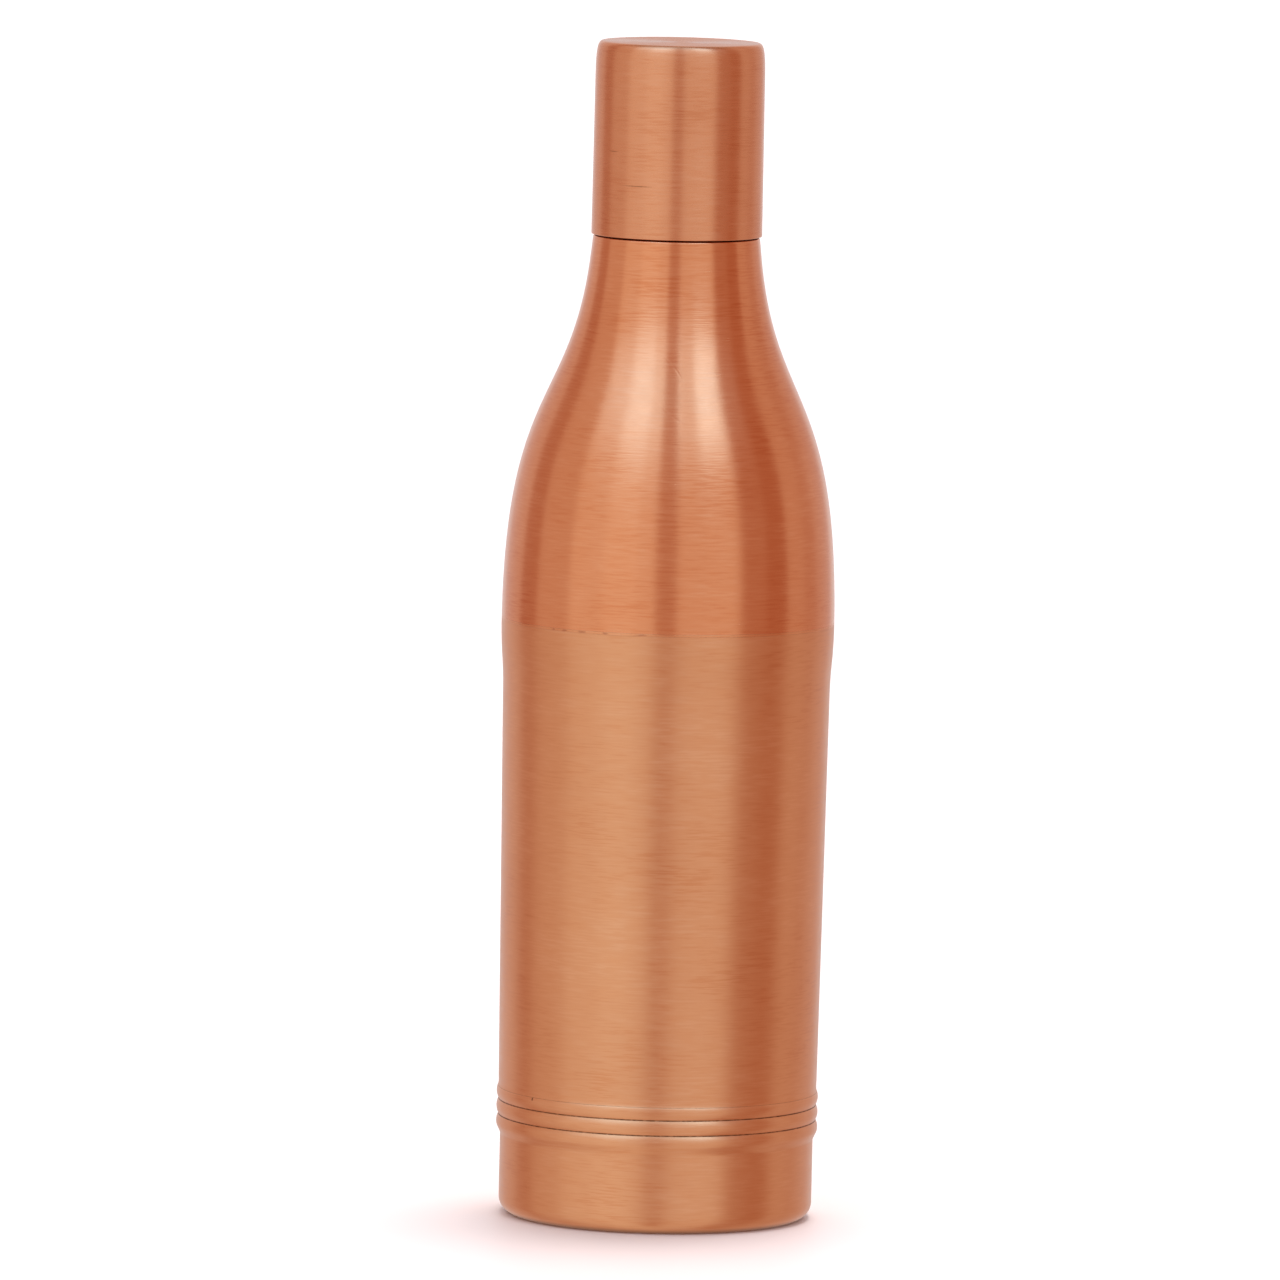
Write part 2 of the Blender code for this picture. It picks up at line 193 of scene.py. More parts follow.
class Relief:
    """Displacement of a turned surface along its normal."""

    def __call__(self, run: np.ndarray, along: np.ndarray, angle: np.ndarray) -> np.ndarray:
        """Nothing anywhere, on a plain turned surface.

        Args:
            run: the outline's points.
            along: arc length along the outline, as a column.
            angle: angle round the axis, as a row.

        Returns:
            Displacement on the grid, above 0 outwards.
        """
        return np.zeros(np.broadcast(along, angle).shape)


@dataclass(frozen=True)
class Ripples(Relief):
    """A sum of cosines of (lobes x angle + along / pitch + phase), drawn from a seed."""

    depth: float
    pitch: float
    seed: int
    lobes: tuple[int, int]
    waves: int

    def total(self, along: np.ndarray, angle: np.ndarray) -> np.ndarray:
        """The sum of the cosines on the grid, from -waves to waves."""
        draw = np.random.default_rng(self.seed)
        total = np.zeros(np.broadcast(along, angle).shape)
        for _ in range(self.waves):
            count = draw.integers(self.lobes[0], self.lobes[1] + 1)
            rate = math.tau / self.pitch * draw.uniform(-1, 1)
            total += np.cos(count * angle + rate * along + draw.uniform(0, math.tau))
        return total


@dataclass(frozen=True)
class Waviness(Ripples):
    """Slow unevenness that spinning and hand polishing leave, with none near the still height."""

    depth: float = 0.08 * MM
    pitch: float = 60 * MM
    seed: int = 1
    lobes: tuple[int, int] = (1, 5)
    waves: int = 7
    still_height: float = -1.0
    still_reach: float = 14 * MM

    def __call__(self, run: np.ndarray, along: np.ndarray, angle: np.ndarray) -> np.ndarray:
        """Hollows as deep as the mean cosine says, zero or inwards. Arguments as for Relief."""
        near = smooth(np.abs(run[:, 1:2] - self.still_height) / self.still_reach)
        return -self.depth * near * (1 + self.total(along, angle) / self.waves) / 2


@dataclass(frozen=True)
class Lumps(Ripples):
    """Uneven run of filler metal along a brazed joint."""

    lobes: tuple[int, int] = (9, 69)
    waves: int = 24

    def __call__(self, run: np.ndarray, along: np.ndarray, angle: np.ndarray) -> np.ndarray:
        """Hollows between the lumps, zero or inwards. Arguments as for Relief."""
        share = 0.5 + self.total(along, angle) / math.sqrt(2 * self.waves) / 2
        return -self.depth * np.clip(share, 0, 1)


@dataclass(frozen=True)
class Thread(Relief):
    """A right-handed screw ridge, as a height over its wall."""

    wall_radius: float
    depth: float
    lead: float
    turns: float
    half_width: float
    start_height: float
    start_turn: float
    flank: float = 0.7 * MM
    run_out: float = 0.25
    wall_tolerance: float = 0.02 * MM

    def __call__(self, run: np.ndarray, along: np.ndarray, angle: np.ndarray) -> np.ndarray:
        """Height of the ridge over the wall. Arguments as for Relief.

        A point's distance from the nearest turn is its height above the helix, modulo the lead.
        The ridge is full within its half width less its flank, falls away over the flank, and
        fades over the run-out at each end of the helix.
        """
        share = np.mod(angle / math.tau - self.start_turn, 1)
        rise = run[:, 1:2] - self.start_height - self.lead * share
        off = np.mod(rise + self.lead / 2, self.lead) - self.lead / 2
        turn = (rise - off) / self.lead + share
        body = smooth((self.half_width - np.abs(off)) / self.flank)
        fade = smooth(np.minimum(turn, self.turns - turn) / self.run_out)
        on_wall = np.abs(run[:, :1] - self.wall_radius) < self.wall_tolerance
        return self.depth * body * fade * on_wall


@dataclass
class TurnedPiece:
    """One outline turned about the axis, as a closed grid whose faces point outwards.

    The point in row i and column j is (r cos a, r sin a, z), where r and z come from outline
    point i moved along its normal by the relief, and a is j equal parts of a whole turn.
    """

    name: str
    outline: np.ndarray
    ends: Ends = Ends.RING
    pitch: float = 1.5 * MM
    segments: int = 256
    relief: Relief = Relief()
    crease: float = math.radians(40)

    def build(self) -> bpy.types.Object:
        """Makes the object, at the origin with its place in its mesh.

        Returns:
            The finished object, with the attributes along, bend and bare on its points.
        """
        run = self.outline
        if run.shape[1] == 2:
            run = joined((run, Face.POLISHED))
        if self.ends is Ends.RING:
            run = spaced(np.vstack((run, run[:1])), self.pitch)[:-1]
        else:
            run = spaced(run, self.pitch)
        run, bare = run[:, :2], run[:, 2]
        side = self._side(run)
        along, normal, turn, bend = self._measure(run, side)
        angle = np.linspace(0, math.tau, self.segments, endpoint=False)[None]
        lift = self.relief(run, along[:, None], angle)
        radius = run[:, :1] + normal[:, :1] * lift
        height = run[:, 1:] + normal[:, 1:] * lift
        places = np.stack((radius * np.cos(angle), radius * np.sin(angle), height), axis=-1)
        mesh = self._mesh(places, side)
        for label, values in (("along", along), ("bend", bend), ("bare", bare)):
            self._store(mesh, label, values)
        mesh.shade_smooth()
        self._crease(mesh, turn)
        piece = bpy.data.objects.new(self.name + "_finish", mesh)
        bpy.context.scene.collection.objects.link(piece)
        return piece

    def _side(self, run: np.ndarray) -> int:
        """1 if the outline runs with the metal on its left, else -1, from its area's sign."""
        after = np.roll(run, -1, axis=0)
        return 1 if np.sum(run[:, 0] * after[:, 1] - after[:, 0] * run[:, 1]) > 0 else -1

    def _measure(self, run: np.ndarray, side: int) -> tuple[np.ndarray, ...]:
        """Arc length, outward normal, turn and bend of each outline point.

        The turn is the angle between a point's two steps, and the bend is the turn over half
        their length, in turns of 1 mm radius: above 0 on an edge and below 0 in a groove. A cut
        edge, sharper than the crease angle, has no bend, because nothing rubs it.

        Args:
            run: the outline.
            side: 1 if the metal is on its left, else -1.

        Returns:
            Arrays of arc lengths, normals, turns and bends.
        """
        ring = self.ends is Ends.RING
        before = run - np.roll(run, 1, axis=0)
        after = np.roll(run, -1, axis=0) - run
        if not ring:
            before[0], after[-1] = after[0], before[-1]
        lengths = np.hypot(*after.T)
        along = np.append(0, np.cumsum(lengths[:-1]))
        half = (np.hypot(*before.T) + lengths) / 2
        cross = before[:, 0] * after[:, 1] - before[:, 1] * after[:, 0]
        dot = (before * after).sum(axis=1)
        turn = side * np.arctan2(cross, dot)
        bend = np.where(turn > self.crease, 0, turn / half * MM)
        mean = before / np.hypot(*before.T)[:, None] + after / lengths[:, None]
        mean /= np.hypot(*mean.T)[:, None]
        normal = side * np.column_stack((mean[:, 1], -mean[:, 0]))
        return along, normal, turn, bend

    def _row_values(self, values: np.ndarray) -> np.ndarray:
        """Repeats a value of each outline point over all the mesh points of its row."""
        if self.ends is Ends.RING:
            return np.repeat(values, self.segments)
        return np.concatenate((values[:1], np.repeat(values[1:-1], self.segments), values[-1:]))

    def _crease(self, mesh: bpy.types.Mesh, turn: np.ndarray) -> None:
        """Marks an edge round the axis sharp where the outline turns by more than the crease angle.

        Args:
            mesh: the finished mesh.
            turn: the turn at each outline point.
        """
        rows = self._row_values(np.arange(len(turn)))
        ends = np.empty(len(mesh.edges) * 2, np.int32)
        mesh.edges.foreach_get("vertices", ends)
        first, second = rows[ends.reshape(-1, 2)].T
        sharp = (first == second) & (np.abs(turn[first]) > self.crease)
        mesh.edges.foreach_set("use_edge_sharp", sharp)

    def _mesh(self, places: np.ndarray, side: int) -> bpy.types.Mesh:
        """Joins the grid's points into quads, with a fan of triangles at each pole.

        Args:
            places: the points, by row and column.
            side: 1 if the faces already point outwards, else -1.

        Returns:
            The mesh.
        """
        rows, columns = places.shape[:2]
        after = np.roll(np.arange(columns), -1)
        if self.ends is Ends.RING:
            index = np.arange(rows * columns).reshape(rows, columns)
            low, high = index, np.roll(index, -1, axis=0)
            points, fans = places.reshape(-1, 3), []
        else:
            inner = places[1:-1]
            index = 1 + np.arange((rows - 2) * columns).reshape(rows - 2, columns)
            low, high = index[:-1], index[1:]
            last = 1 + index[-1, -1]
            points = np.vstack((places[0, :1], inner.reshape(-1, 3), places[-1, :1]))
            first_fan = np.column_stack((np.zeros(columns, int), index[0, after], index[0]))
            last_fan = np.column_stack((index[-1], index[-1, after], np.full(columns, last)))
            fans = [first_fan, last_fan]
        quads = np.stack((low, low[:, after], high[:, after], high), axis=-1).reshape(-1, 4)
        faces = [face[:, ::side].tolist() for face in (quads, *fans)]
        mesh = bpy.data.meshes.new(self.name + "_finish")
        mesh.from_pydata(points.tolist(), [], [face for group in faces for face in group])
        mesh.validate()
        mesh.update()
        return mesh

    def _store(self, mesh: bpy.types.Mesh, label: str, values: np.ndarray) -> None:
        """Writes one value for each outline point to all the points of its row."""
        layer = mesh.attributes.new(label, "FLOAT", "POINT")
        layer.data.foreach_set("value", self._row_values(values).astype(np.float32))


# Shader graphs


class Graph:
    """Adds nodes to a tree, with their settings and inputs in one call."""

    def __init__(self, tree: bpy.types.NodeTree) -> None:
        """Keeps the tree and counts its nodes, so that each stands clear of the last."""
        self.tree = tree
        self.count = 0

    def feed(self, node: bpy.types.Node, inputs: dict) -> None:
        """Sets a node's inputs.

        Args:
            node: the node.
            inputs: by an input's name or number, its value or the socket that feeds it.
        """
        for name, value in inputs.items():
            if isinstance(value, bpy.types.NodeSocket):
                self.tree.links.new(value, node.inputs[name])
            else:
                node.inputs[name].default_value = value

    def node(self, kind: str, inputs: dict | None = None, **settings: object) -> bpy.types.Node:
        """Adds a node.

        Args:
            kind: the node's type name.
            inputs: what feed takes.
            settings: the node's own properties.

        Returns:
            The node.
        """
        made = self.tree.nodes.new(kind)
        made.location = (220 * (self.count % 8), -260 * (self.count // 8))
        self.count += 1
        for name, value in settings.items():
            setattr(made, name, value)
        self.feed(made, inputs or {})
        return made

    def math(self, operation: str, *values: object) -> bpy.types.NodeSocket:
        """One Math node: the operation's result on the values."""
        return self.node("ShaderNodeMath", dict(enumerate(values)), operation=operation).outputs[0]

    def times(self, first: object, second: object) -> bpy.types.NodeSocket:
        """The product of two values."""
        return self.math("MULTIPLY", first, second)

    def total(self, start: object, *terms: tuple[object, object]) -> bpy.types.NodeSocket:
        """The start plus each term's value times its weight."""
        for value, weight in terms:
            start = self.math("MULTIPLY_ADD", value, weight, start)
        return start

    def ramp(self, value: object, low: float, high: float) -> bpy.types.NodeSocket:
        """0 below low and 1 above high, eased between."""
        inputs = {"Value": value, "From Min": low, "From Max": high}
        return self.node("ShaderNodeMapRange", inputs, interpolation_type="SMOOTHSTEP").outputs[0]

    def mix(self, share: object, first: object, second: object) -> bpy.types.NodeSocket:
        """A colour between two, by the share of the second."""
        inputs = {0: share, 6: opaque(first), 7: opaque(second)}
        return self.node("ShaderNodeMix", inputs, data_type="RGBA", clamp_factor=False).outputs[2]

    def noise(self, vector: object, scale: object, detail: float = 2.0) -> bpy.types.NodeSocket:
        """Noise of mean one half at the vector."""
        inputs = {"Vector": vector, "Scale": scale, "Detail": detail}
        return self.node("ShaderNodeTexNoise", inputs).outputs["Fac"]

    def vector_math(self, operation: str, first: object, second: object = (0, 0, 0)) -> bpy.types.Node:
        """One Vector Math node."""
        return self.node("ShaderNodeVectorMath", {0: first, 1: second}, operation=operation)

    def object_place(self) -> bpy.types.NodeSocket:
        """The point's place in the object's own coordinates."""
        return self.node("ShaderNodeTexCoord").outputs["Object"]

    def apart(self, vector: bpy.types.NodeSocket) -> bpy.types.NodeOutputs:
        """The vector's X, Y and Z."""
        return self.node("ShaderNodeSeparateXYZ", {0: vector}).outputs

    def together(self, x: object, y: object, z: object) -> bpy.types.NodeSocket:
        """A vector from its X, Y and Z."""
        return self.node("ShaderNodeCombineXYZ", {0: x, 1: y, 2: z}).outputs[0]

    def attribute(self, name: str) -> bpy.types.NodeSocket:
        """A number stored on the mesh's points."""
        return self.node("ShaderNodeAttribute", attribute_name=name).outputs["Fac"]

    def bump(self, height: object, strength: float, depth: float) -> bpy.types.NodeSocket:
        """The normal over a height of that depth."""
        inputs = {"Strength": strength, "Distance": depth, "Height": height}
        return self.node("ShaderNodeBump", inputs).outputs[0]

    def effect(self, name: str, inputs: dict | None = None) -> bpy.types.NodeOutputs:
        """Places a shared effect with this material's own values."""
        return self.node("ShaderNodeGroup", inputs, node_tree=Effect.built[name]).outputs


class Effect:
    """A shader node group that several finishes share, built once."""

    built: dict[str, bpy.types.NodeTree] = {}

    def __init__(self, name: str, inputs: dict[str, float | tuple], outputs: tuple[str, ...]) -> None:
        """Starts the group.

        Args:
            name: the group's name.
            inputs: the default of each named input.
            outputs: the names of its outputs.
        """
        tree = bpy.data.node_groups.new(name, "ShaderNodeTree")
        for label, value in inputs.items():
            kind = "NodeSocketFloat" if isinstance(value, float) else "NodeSocketVector"
            socket = tree.interface.new_socket(label, in_out="INPUT", socket_type=kind)
            socket.default_value = value
        for label in outputs:
            tree.interface.new_socket(label, in_out="OUTPUT", socket_type="NodeSocketFloat")
        self.graph = Graph(tree)
        self.given = self.graph.node("NodeGroupInput").outputs
        self.result = self.graph.node("NodeGroupOutput")
        Effect.built[name] = tree

    def put(self, label: str, value: bpy.types.NodeSocket) -> None:
        """Sends a value to one of the group's outputs."""
        self.graph.feed(self.result, {label: value})


def build_brushing() -> None:
    """Fine lines that run round the axis, and broader bands of them.

    The noise is stretched round the axis by scaling the object's X and Y far less than the arc
    length along the outline.
    """
    inputs = {"Along": 0.0, "Lines per metre": 2500.0, "Stretch": 170.0}
    effect = Effect("brushing", inputs, ("Lines", "Bands"))
    graph, given = effect.graph, effect.given
    place = graph.apart(graph.object_place())
    across = [graph.times(place[axis], given["Stretch"]) for axis in (0, 1)]
    fine = graph.times(given["Along"], given["Lines per metre"])
    lines = graph.noise(graph.together(across[0], across[1], fine), 1.0, 3.0)
    bands = graph.noise(graph.together(across[1], across[0], graph.times(fine, 0.16)), 0.6)
    effect.put("Lines", graph.ramp(lines, 0.3, 0.7))
    effect.put("Bands", graph.ramp(bands, 0.3, 0.7))


def build_tone() -> None:
    """Slow changes of tone over the metal, from handling and from the polish: two sizes of noise."""
    effect = Effect("tone", {"Size": 0.03, "Contrast": 1.0}, ("Tone", "Mottle"))
    graph, given = effect.graph, effect.given
    place = graph.object_place()
    rate = graph.math("DIVIDE", 1.0, given["Size"])
    broad, small = graph.noise(place, rate), graph.noise(place, graph.times(rate, 9.0), 4.0)
    for label, value in (("Tone", broad), ("Mottle", small)):
        swing = graph.math("SUBTRACT", value, 0.5)
        effect.put(label, graph.total(0.5, (swing, given["Contrast"])))


def build_wear() -> None:
    """Rubbed edges and darkened grooves, from the bend of the outline, broken up by noise."""
    inputs = {"Bend": 0.0, "Edge bend": 0.5, "Groove bend": 0.5}
    effect = Effect("wear", inputs, ("Edge", "Groove"))
    graph, given = effect.graph, effect.given
    speckle = graph.ramp(graph.noise(graph.object_place(), 900.0, 3.0), 0.25, 0.65)
    edge = graph.math("DIVIDE", given["Bend"], given["Edge bend"])
    groove = graph.math("DIVIDE", given["Bend"], graph.times(given["Groove bend"], -1.0))
    for label, value, least in (("Edge", edge, 0.6), ("Groove", groove, 0.55)):
        broken = graph.total(least, (speckle, 1.0 - least))
        effect.put(label, graph.times(graph.ramp(value, 0.25, 1.0), broken))


def build_scratches() -> None:
    """Sparse hair scratches: thin bands where a stretched noise crosses one half."""
    inputs = {"Scale": 60.0, "Width": 0.004, "Turned": (0.0, 0.0, 0.0)}
    effect = Effect("scratches", inputs, ("Scratch",))
    graph, given = effect.graph, effect.given
    inputs = {"Vector": graph.object_place(), "Rotation": given["Turned"]}
    turned = graph.node("ShaderNodeVectorRotate", inputs, rotation_type="EULER_XYZ").outputs[0]
    long_way = graph.vector_math("MULTIPLY", turned, (1.0, 1.0, 0.12)).outputs[0]
    veins = graph.noise(long_way, given["Scale"], 1.0)
    off = graph.math("ABSOLUTE", graph.math("SUBTRACT", veins, 0.5))
    line = graph.math("SUBTRACT", 1.0, graph.math("DIVIDE", off, given["Width"]))
    sparse = graph.ramp(graph.noise(turned, 45.0), 0.56, 0.7)
    effect.put("Scratch", graph.times(graph.math("MAXIMUM", line, 0.0), sparse))


def build_nick() -> None:
    """One small mark: a mask of 1 at its centre that falls to 0 at its half sizes."""
    inputs = {"Centre": (0.0, 0.0, 0.0), "Half size": (0.001, 0.001, 0.001)}
    effect = Effect("nick", inputs, ("Mark",))
    graph, given = effect.graph, effect.given
    off = graph.vector_math("SUBTRACT", graph.object_place(), given["Centre"]).outputs[0]
    share = graph.vector_math("DIVIDE", off, given["Half size"]).outputs[0]
    length = graph.vector_math("LENGTH", share).outputs["Value"]
    far = graph.total(length, (graph.noise(graph.object_place(), 2500.0), 0.9))
    effect.put("Mark", graph.math("SUBTRACT", 1.0, graph.ramp(far, 0.7, 1.3)))


def build_panel() -> None:
    """How far a direction is within a panel: 1 inside its half width, 0 beyond its softness."""
    inputs = {"Azimuth": 0.0, "Centre": 0.0, "Half width": 10.0, "Softness": 5.0}
    effect = Effect("panel", inputs, ("Mask",))
    graph, given = effect.graph, effect.given
    off = graph.math("SUBTRACT", given["Azimuth"], given["Centre"])
    off = graph.math("ABSOLUTE", graph.math("WRAP", off, 180.0, -180.0))
    past = graph.math("DIVIDE", graph.math("SUBTRACT", off, given["Half width"]), given["Softness"])
    effect.put("Mask", graph.math("SUBTRACT", 1.0, graph.ramp(past, 0.0, 1.0)))


# Finishes


def opaque(colour: object) -> object:
    """The colour with full alpha, or the socket that gives it."""
    return colour if isinstance(colour, bpy.types.NodeSocket) else (*colour, 1.0)


def new_material(name: str) -> tuple[bpy.types.Material, Graph, bpy.types.Node]:
    """An empty material with its graph and its Principled shader."""
    material = bpy.data.materials.new(name)
    material.use_nodes = True
    return material, Graph(material.node_tree), material.node_tree.nodes["Principled BSDF"]


BAND_SHARE = 0.25  # of the grain, the rest being fine lines
GRAIN_SHARE = 0.45  # of the shade, the rest being slow tone
EDGE_RUB = 0.35
BARE_SHARE = 0.85
GROOVE_DARKNESS = 0.9
# painted shade: how dark the band at the foot is painted, in place of the contact shadow that the foot
# reflects
FOOT_SHADE_DARKNESS = 0.85
PIT_RATE = 700.0  # cells of noise in a metre, as are the next two
PATCH_RATE = 26.0
FILLER_PIT_RATE = 2600.0
# the dark mask that these weight holds grooves, specks and nicks, and also the painted shade at the foot
DIRT_AND_SHADE_ROUGHNESS = 0.25
SCRATCH_DEPTH = 0.8  # in brush lines, as is the nicks'
NICK_AND_SHADE_DEPTH = 2.0


@dataclass(frozen=True)
class Nick:
    """A small mark in the metal, by its angle from the front, height, half sizes and darkness."""

    angle_deg: float
    height: float
    half_width: float
    half_height: float
    darkness: float = 1.0

    def centre(self, radius: float) -> Vector:
        """The mark's place on a wall of that radius. The front faces -Y."""
        angle = math.radians(self.angle_deg)
        return Vector((radius * math.sin(angle), -radius * math.cos(angle), self.height))


@dataclass(frozen=True)
class BrushedCopper:
    """Copper polished on a lathe, so that its lines run round the axis and blur light along it."""

    name: str
    colour: Colour
    deep_colour: Colour
    pale_colour: Colour
    # colour of the dark marks, which include the painted shade at the foot
    dirt_and_shade_colour: Colour = (0.20, 0.075, 0.03)
    roughness: float = 0.3
    roughness_swing: float = 0.08
    stretch_of_glints: float = 0.8
    line_depth: float = 0.006 * MM
    lines_per_metre: float = 2500.0
    tone_size: float = 0.035
    tone_contrast: float = 1.2
    groove_bend: float = 0.5
    bare_colour: Colour = (0.62, 0.30, 0.18)
    bare_roughness: float = 0.18
    specks: float = 0.0
    # height of the band at the foot painted darker: painted shade for the dark floor contact that the
    # rounded corner reflects
    foot_painted_shade: float = 0.0
    nicks: tuple[Nick, ...] = ()
    nick_radius: float = 0.04

    def build(self) -> bpy.types.Material:
        """Builds the material. Its glints stretch square to the lines, a quarter turn from them.

        Returns:
            The material, which reads the attributes along, bend and bare.
        """
        material, graph, shader = new_material(self.name)
        inputs = {"Along": graph.attribute("along"), "Lines per metre": self.lines_per_metre}
        brushing = graph.effect("brushing", inputs)
        tone = graph.effect("tone", {"Size": self.tone_size, "Contrast": self.tone_contrast})
        inputs = {"Bend": graph.attribute("bend"), "Groove bend": self.groove_bend}
        wear = graph.effect("wear", inputs)
        bare = graph.attribute("bare")
        grain = graph.total(0.0, (brushing["Lines"], 1 - BAND_SHARE), (brushing["Bands"], BAND_SHARE))
        shade = graph.total(0.0, (grain, GRAIN_SHARE), (tone["Tone"], 1 - GRAIN_SHARE))
        colour = graph.mix(graph.ramp(shade, 0.15, 0.5), self.deep_colour, self.colour)
        colour = graph.mix(graph.ramp(shade, 0.5, 0.9), colour, self.pale_colour)
        colour = graph.mix(graph.times(wear["Edge"], EDGE_RUB), colour, self.pale_colour)
        colour = graph.mix(graph.times(bare, BARE_SHARE), colour, self.bare_colour)
        dark = self._dark(graph, wear["Groove"])
        swings = [(graph.math("SUBTRACT", v, 0.5), self.roughness_swing) for v in (grain, tone["Mottle"])]
        rough = graph.total(self.roughness, *swings, (dark, DIRT_AND_SHADE_ROUGHNESS), (bare, self.bare_roughness))
        scratch = graph.effect("scratches", {"Turned": (0.5, 0.9, 0.3)})["Scratch"]
        depth = graph.total(brushing["Lines"], (scratch, -SCRATCH_DEPTH), (dark, -NICK_AND_SHADE_DEPTH))
        graph.feed(shader, {
            "Base Color": graph.mix(dark, colour, self.dirt_and_shade_colour),
            "Roughness": rough,
            "Normal": graph.bump(depth, 0.6, self.line_depth),
            "Tangent": graph.node("ShaderNodeTangent", direction_type="RADIAL", axis="Z").outputs[0],
            "Metallic": 1.0,
            "Anisotropic": self.stretch_of_glints,
            "Anisotropic Rotation": 0.25,
        })
        return material

    def _dark(self, graph: Graph, groove: bpy.types.NodeSocket) -> bpy.types.NodeSocket:
        """The darkest of the grooves, the specks, the painted shade at the foot and the nicks.

        Args:
            graph: the material's graph.
            groove: mask of the outline's grooves.

        Returns:
            How dark the metal is, from 0 to 1.
        """
        masks = [graph.times(groove, GROOVE_DARKNESS)]
        if self.specks:
            pits = graph.ramp(graph.noise(graph.object_place(), PIT_RATE, 3.0), 0.62, 0.70)
            patches = graph.ramp(graph.noise(graph.object_place(), PATCH_RATE, 1.0), 0.5, 0.62)
            masks.append(graph.times(graph.times(pits, patches), self.specks))
        # painted shade: a dark band up the foot's lowest millimetres, standing in for the reflected
        # contact shadow
        if self.foot_painted_shade:
            height = graph.apart(graph.object_place())["Z"]
            stain = graph.math("SUBTRACT", 1.0, graph.ramp(height, 0.0, self.foot_painted_shade))
            masks.append(graph.times(stain, FOOT_SHADE_DARKNESS))
        for nick in self.nicks:
            half = (nick.half_width, nick.half_width, nick.half_height)
            inputs = {"Centre": nick.centre(self.nick_radius), "Half size": half}
            masks.append(graph.times(graph.effect("nick", inputs)["Mark"], nick.darkness))
        dark = masks[0]
        for mask in masks[1:]:
            dark = graph.math("MAXIMUM", dark, mask)
        return dark


@dataclass(frozen=True)
class FillerMetal:
    """Brazed filler: duller and yellower than the sheet, with flux stains and pits."""

    name: str = "filler_metal"
    colour: Colour = (0.52, 0.26, 0.11)
    stain: Colour = (0.16, 0.07, 0.04)
    roughness: float = 0.42

    def build(self) -> bpy.types.Material:
        """Builds the material."""
        material, graph, shader = new_material(self.name)
        tone = graph.effect("tone", {"Size": 0.004, "Contrast": 1.8})
        pits = graph.ramp(graph.noise(graph.object_place(), FILLER_PIT_RATE, 3.0), 0.52, 0.66)
        stained = graph.times(graph.ramp(tone["Mottle"], 0.45, 0.8), 0.7)
        stained = graph.math("MAXIMUM", stained, graph.times(pits, 0.8))
        height = graph.total(tone["Mottle"], (pits, -1.0))
        graph.feed(shader, {
            "Base Color": graph.mix(stained, self.colour, self.stain),
            "Roughness": graph.total(self.roughness - 0.15, (tone["Tone"], 0.3)),
            "Normal": graph.bump(height, 0.7, 0.05 * MM),
            "Metallic": 1.0,
        })
        return material


@dataclass(frozen=True)
class SiliconeWasher:
    """Milky silicone rubber with fine dust and a slight sheen."""

    name: str = "silicone_washer"
    colour: Colour = (0.74, 0.73, 0.70)
    dust: Colour = (0.60, 0.57, 0.52)
    roughness: float = 0.42

    def build(self) -> bpy.types.Material:
        """Builds the material."""
        material, graph, shader = new_material(self.name)
        tone = graph.effect("tone", {"Size": 0.006, "Contrast": 1.5})
        wear = graph.effect("wear", {"Bend": graph.attribute("bend")})
        dusty = graph.total(graph.ramp(tone["Mottle"], 0.4, 0.9), (wear["Groove"], 0.5))
        graph.feed(shader, {
            "Base Color": graph.mix(dusty, self.colour, self.dust),
            "Roughness": graph.total(self.roughness - 0.1, (tone["Tone"], 0.2)),
            "Normal": graph.bump(tone["Mottle"], 0.3, 0.02 * MM),
            "Subsurface Weight": 0.2,
            "Subsurface Radius": (0.002, 0.002, 0.0015),
            "Subsurface Scale": 1.0,
        })
        return material


Finish = BrushedCopper | FillerMetal | SiliconeWasher


# Sub-assemblies


@dataclass(frozen=True)
class Span:
    """Radius and heights that a CAD node fills at rest."""

    radius: float
    low: float
    high: float


def span_of(node: str) -> Span:
    """Reads a turned CAD node's span from its box."""
    low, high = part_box(node)
    return Span(high.x, low.z, high.z)


def install(node: str, slot: str, outline: np.ndarray, finish: Finish, **shape: object) -> None:
    """Turns a piece, dresses it and puts it in the CAD node's place, on that node's body.

    Args:
        node: the CAD node that it stands for.
        slot: the record's material slot; not used.
        outline: the piece's outline.
        finish: its finish.
        shape: the other fields of its TurnedPiece.
    """
    piece = TurnedPiece(node, outline, **shape).build()
    piece.data.materials.append(finish.build())
    bodies = frame["record"]["behaviour"]["bodies"]
    body = next(name for name, nodes in bodies.items() if node in nodes)
    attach(piece, body)
    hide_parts(node)
    LOG.info("%s on %s: %d faces", piece.name, body, len(piece.data.polygons))


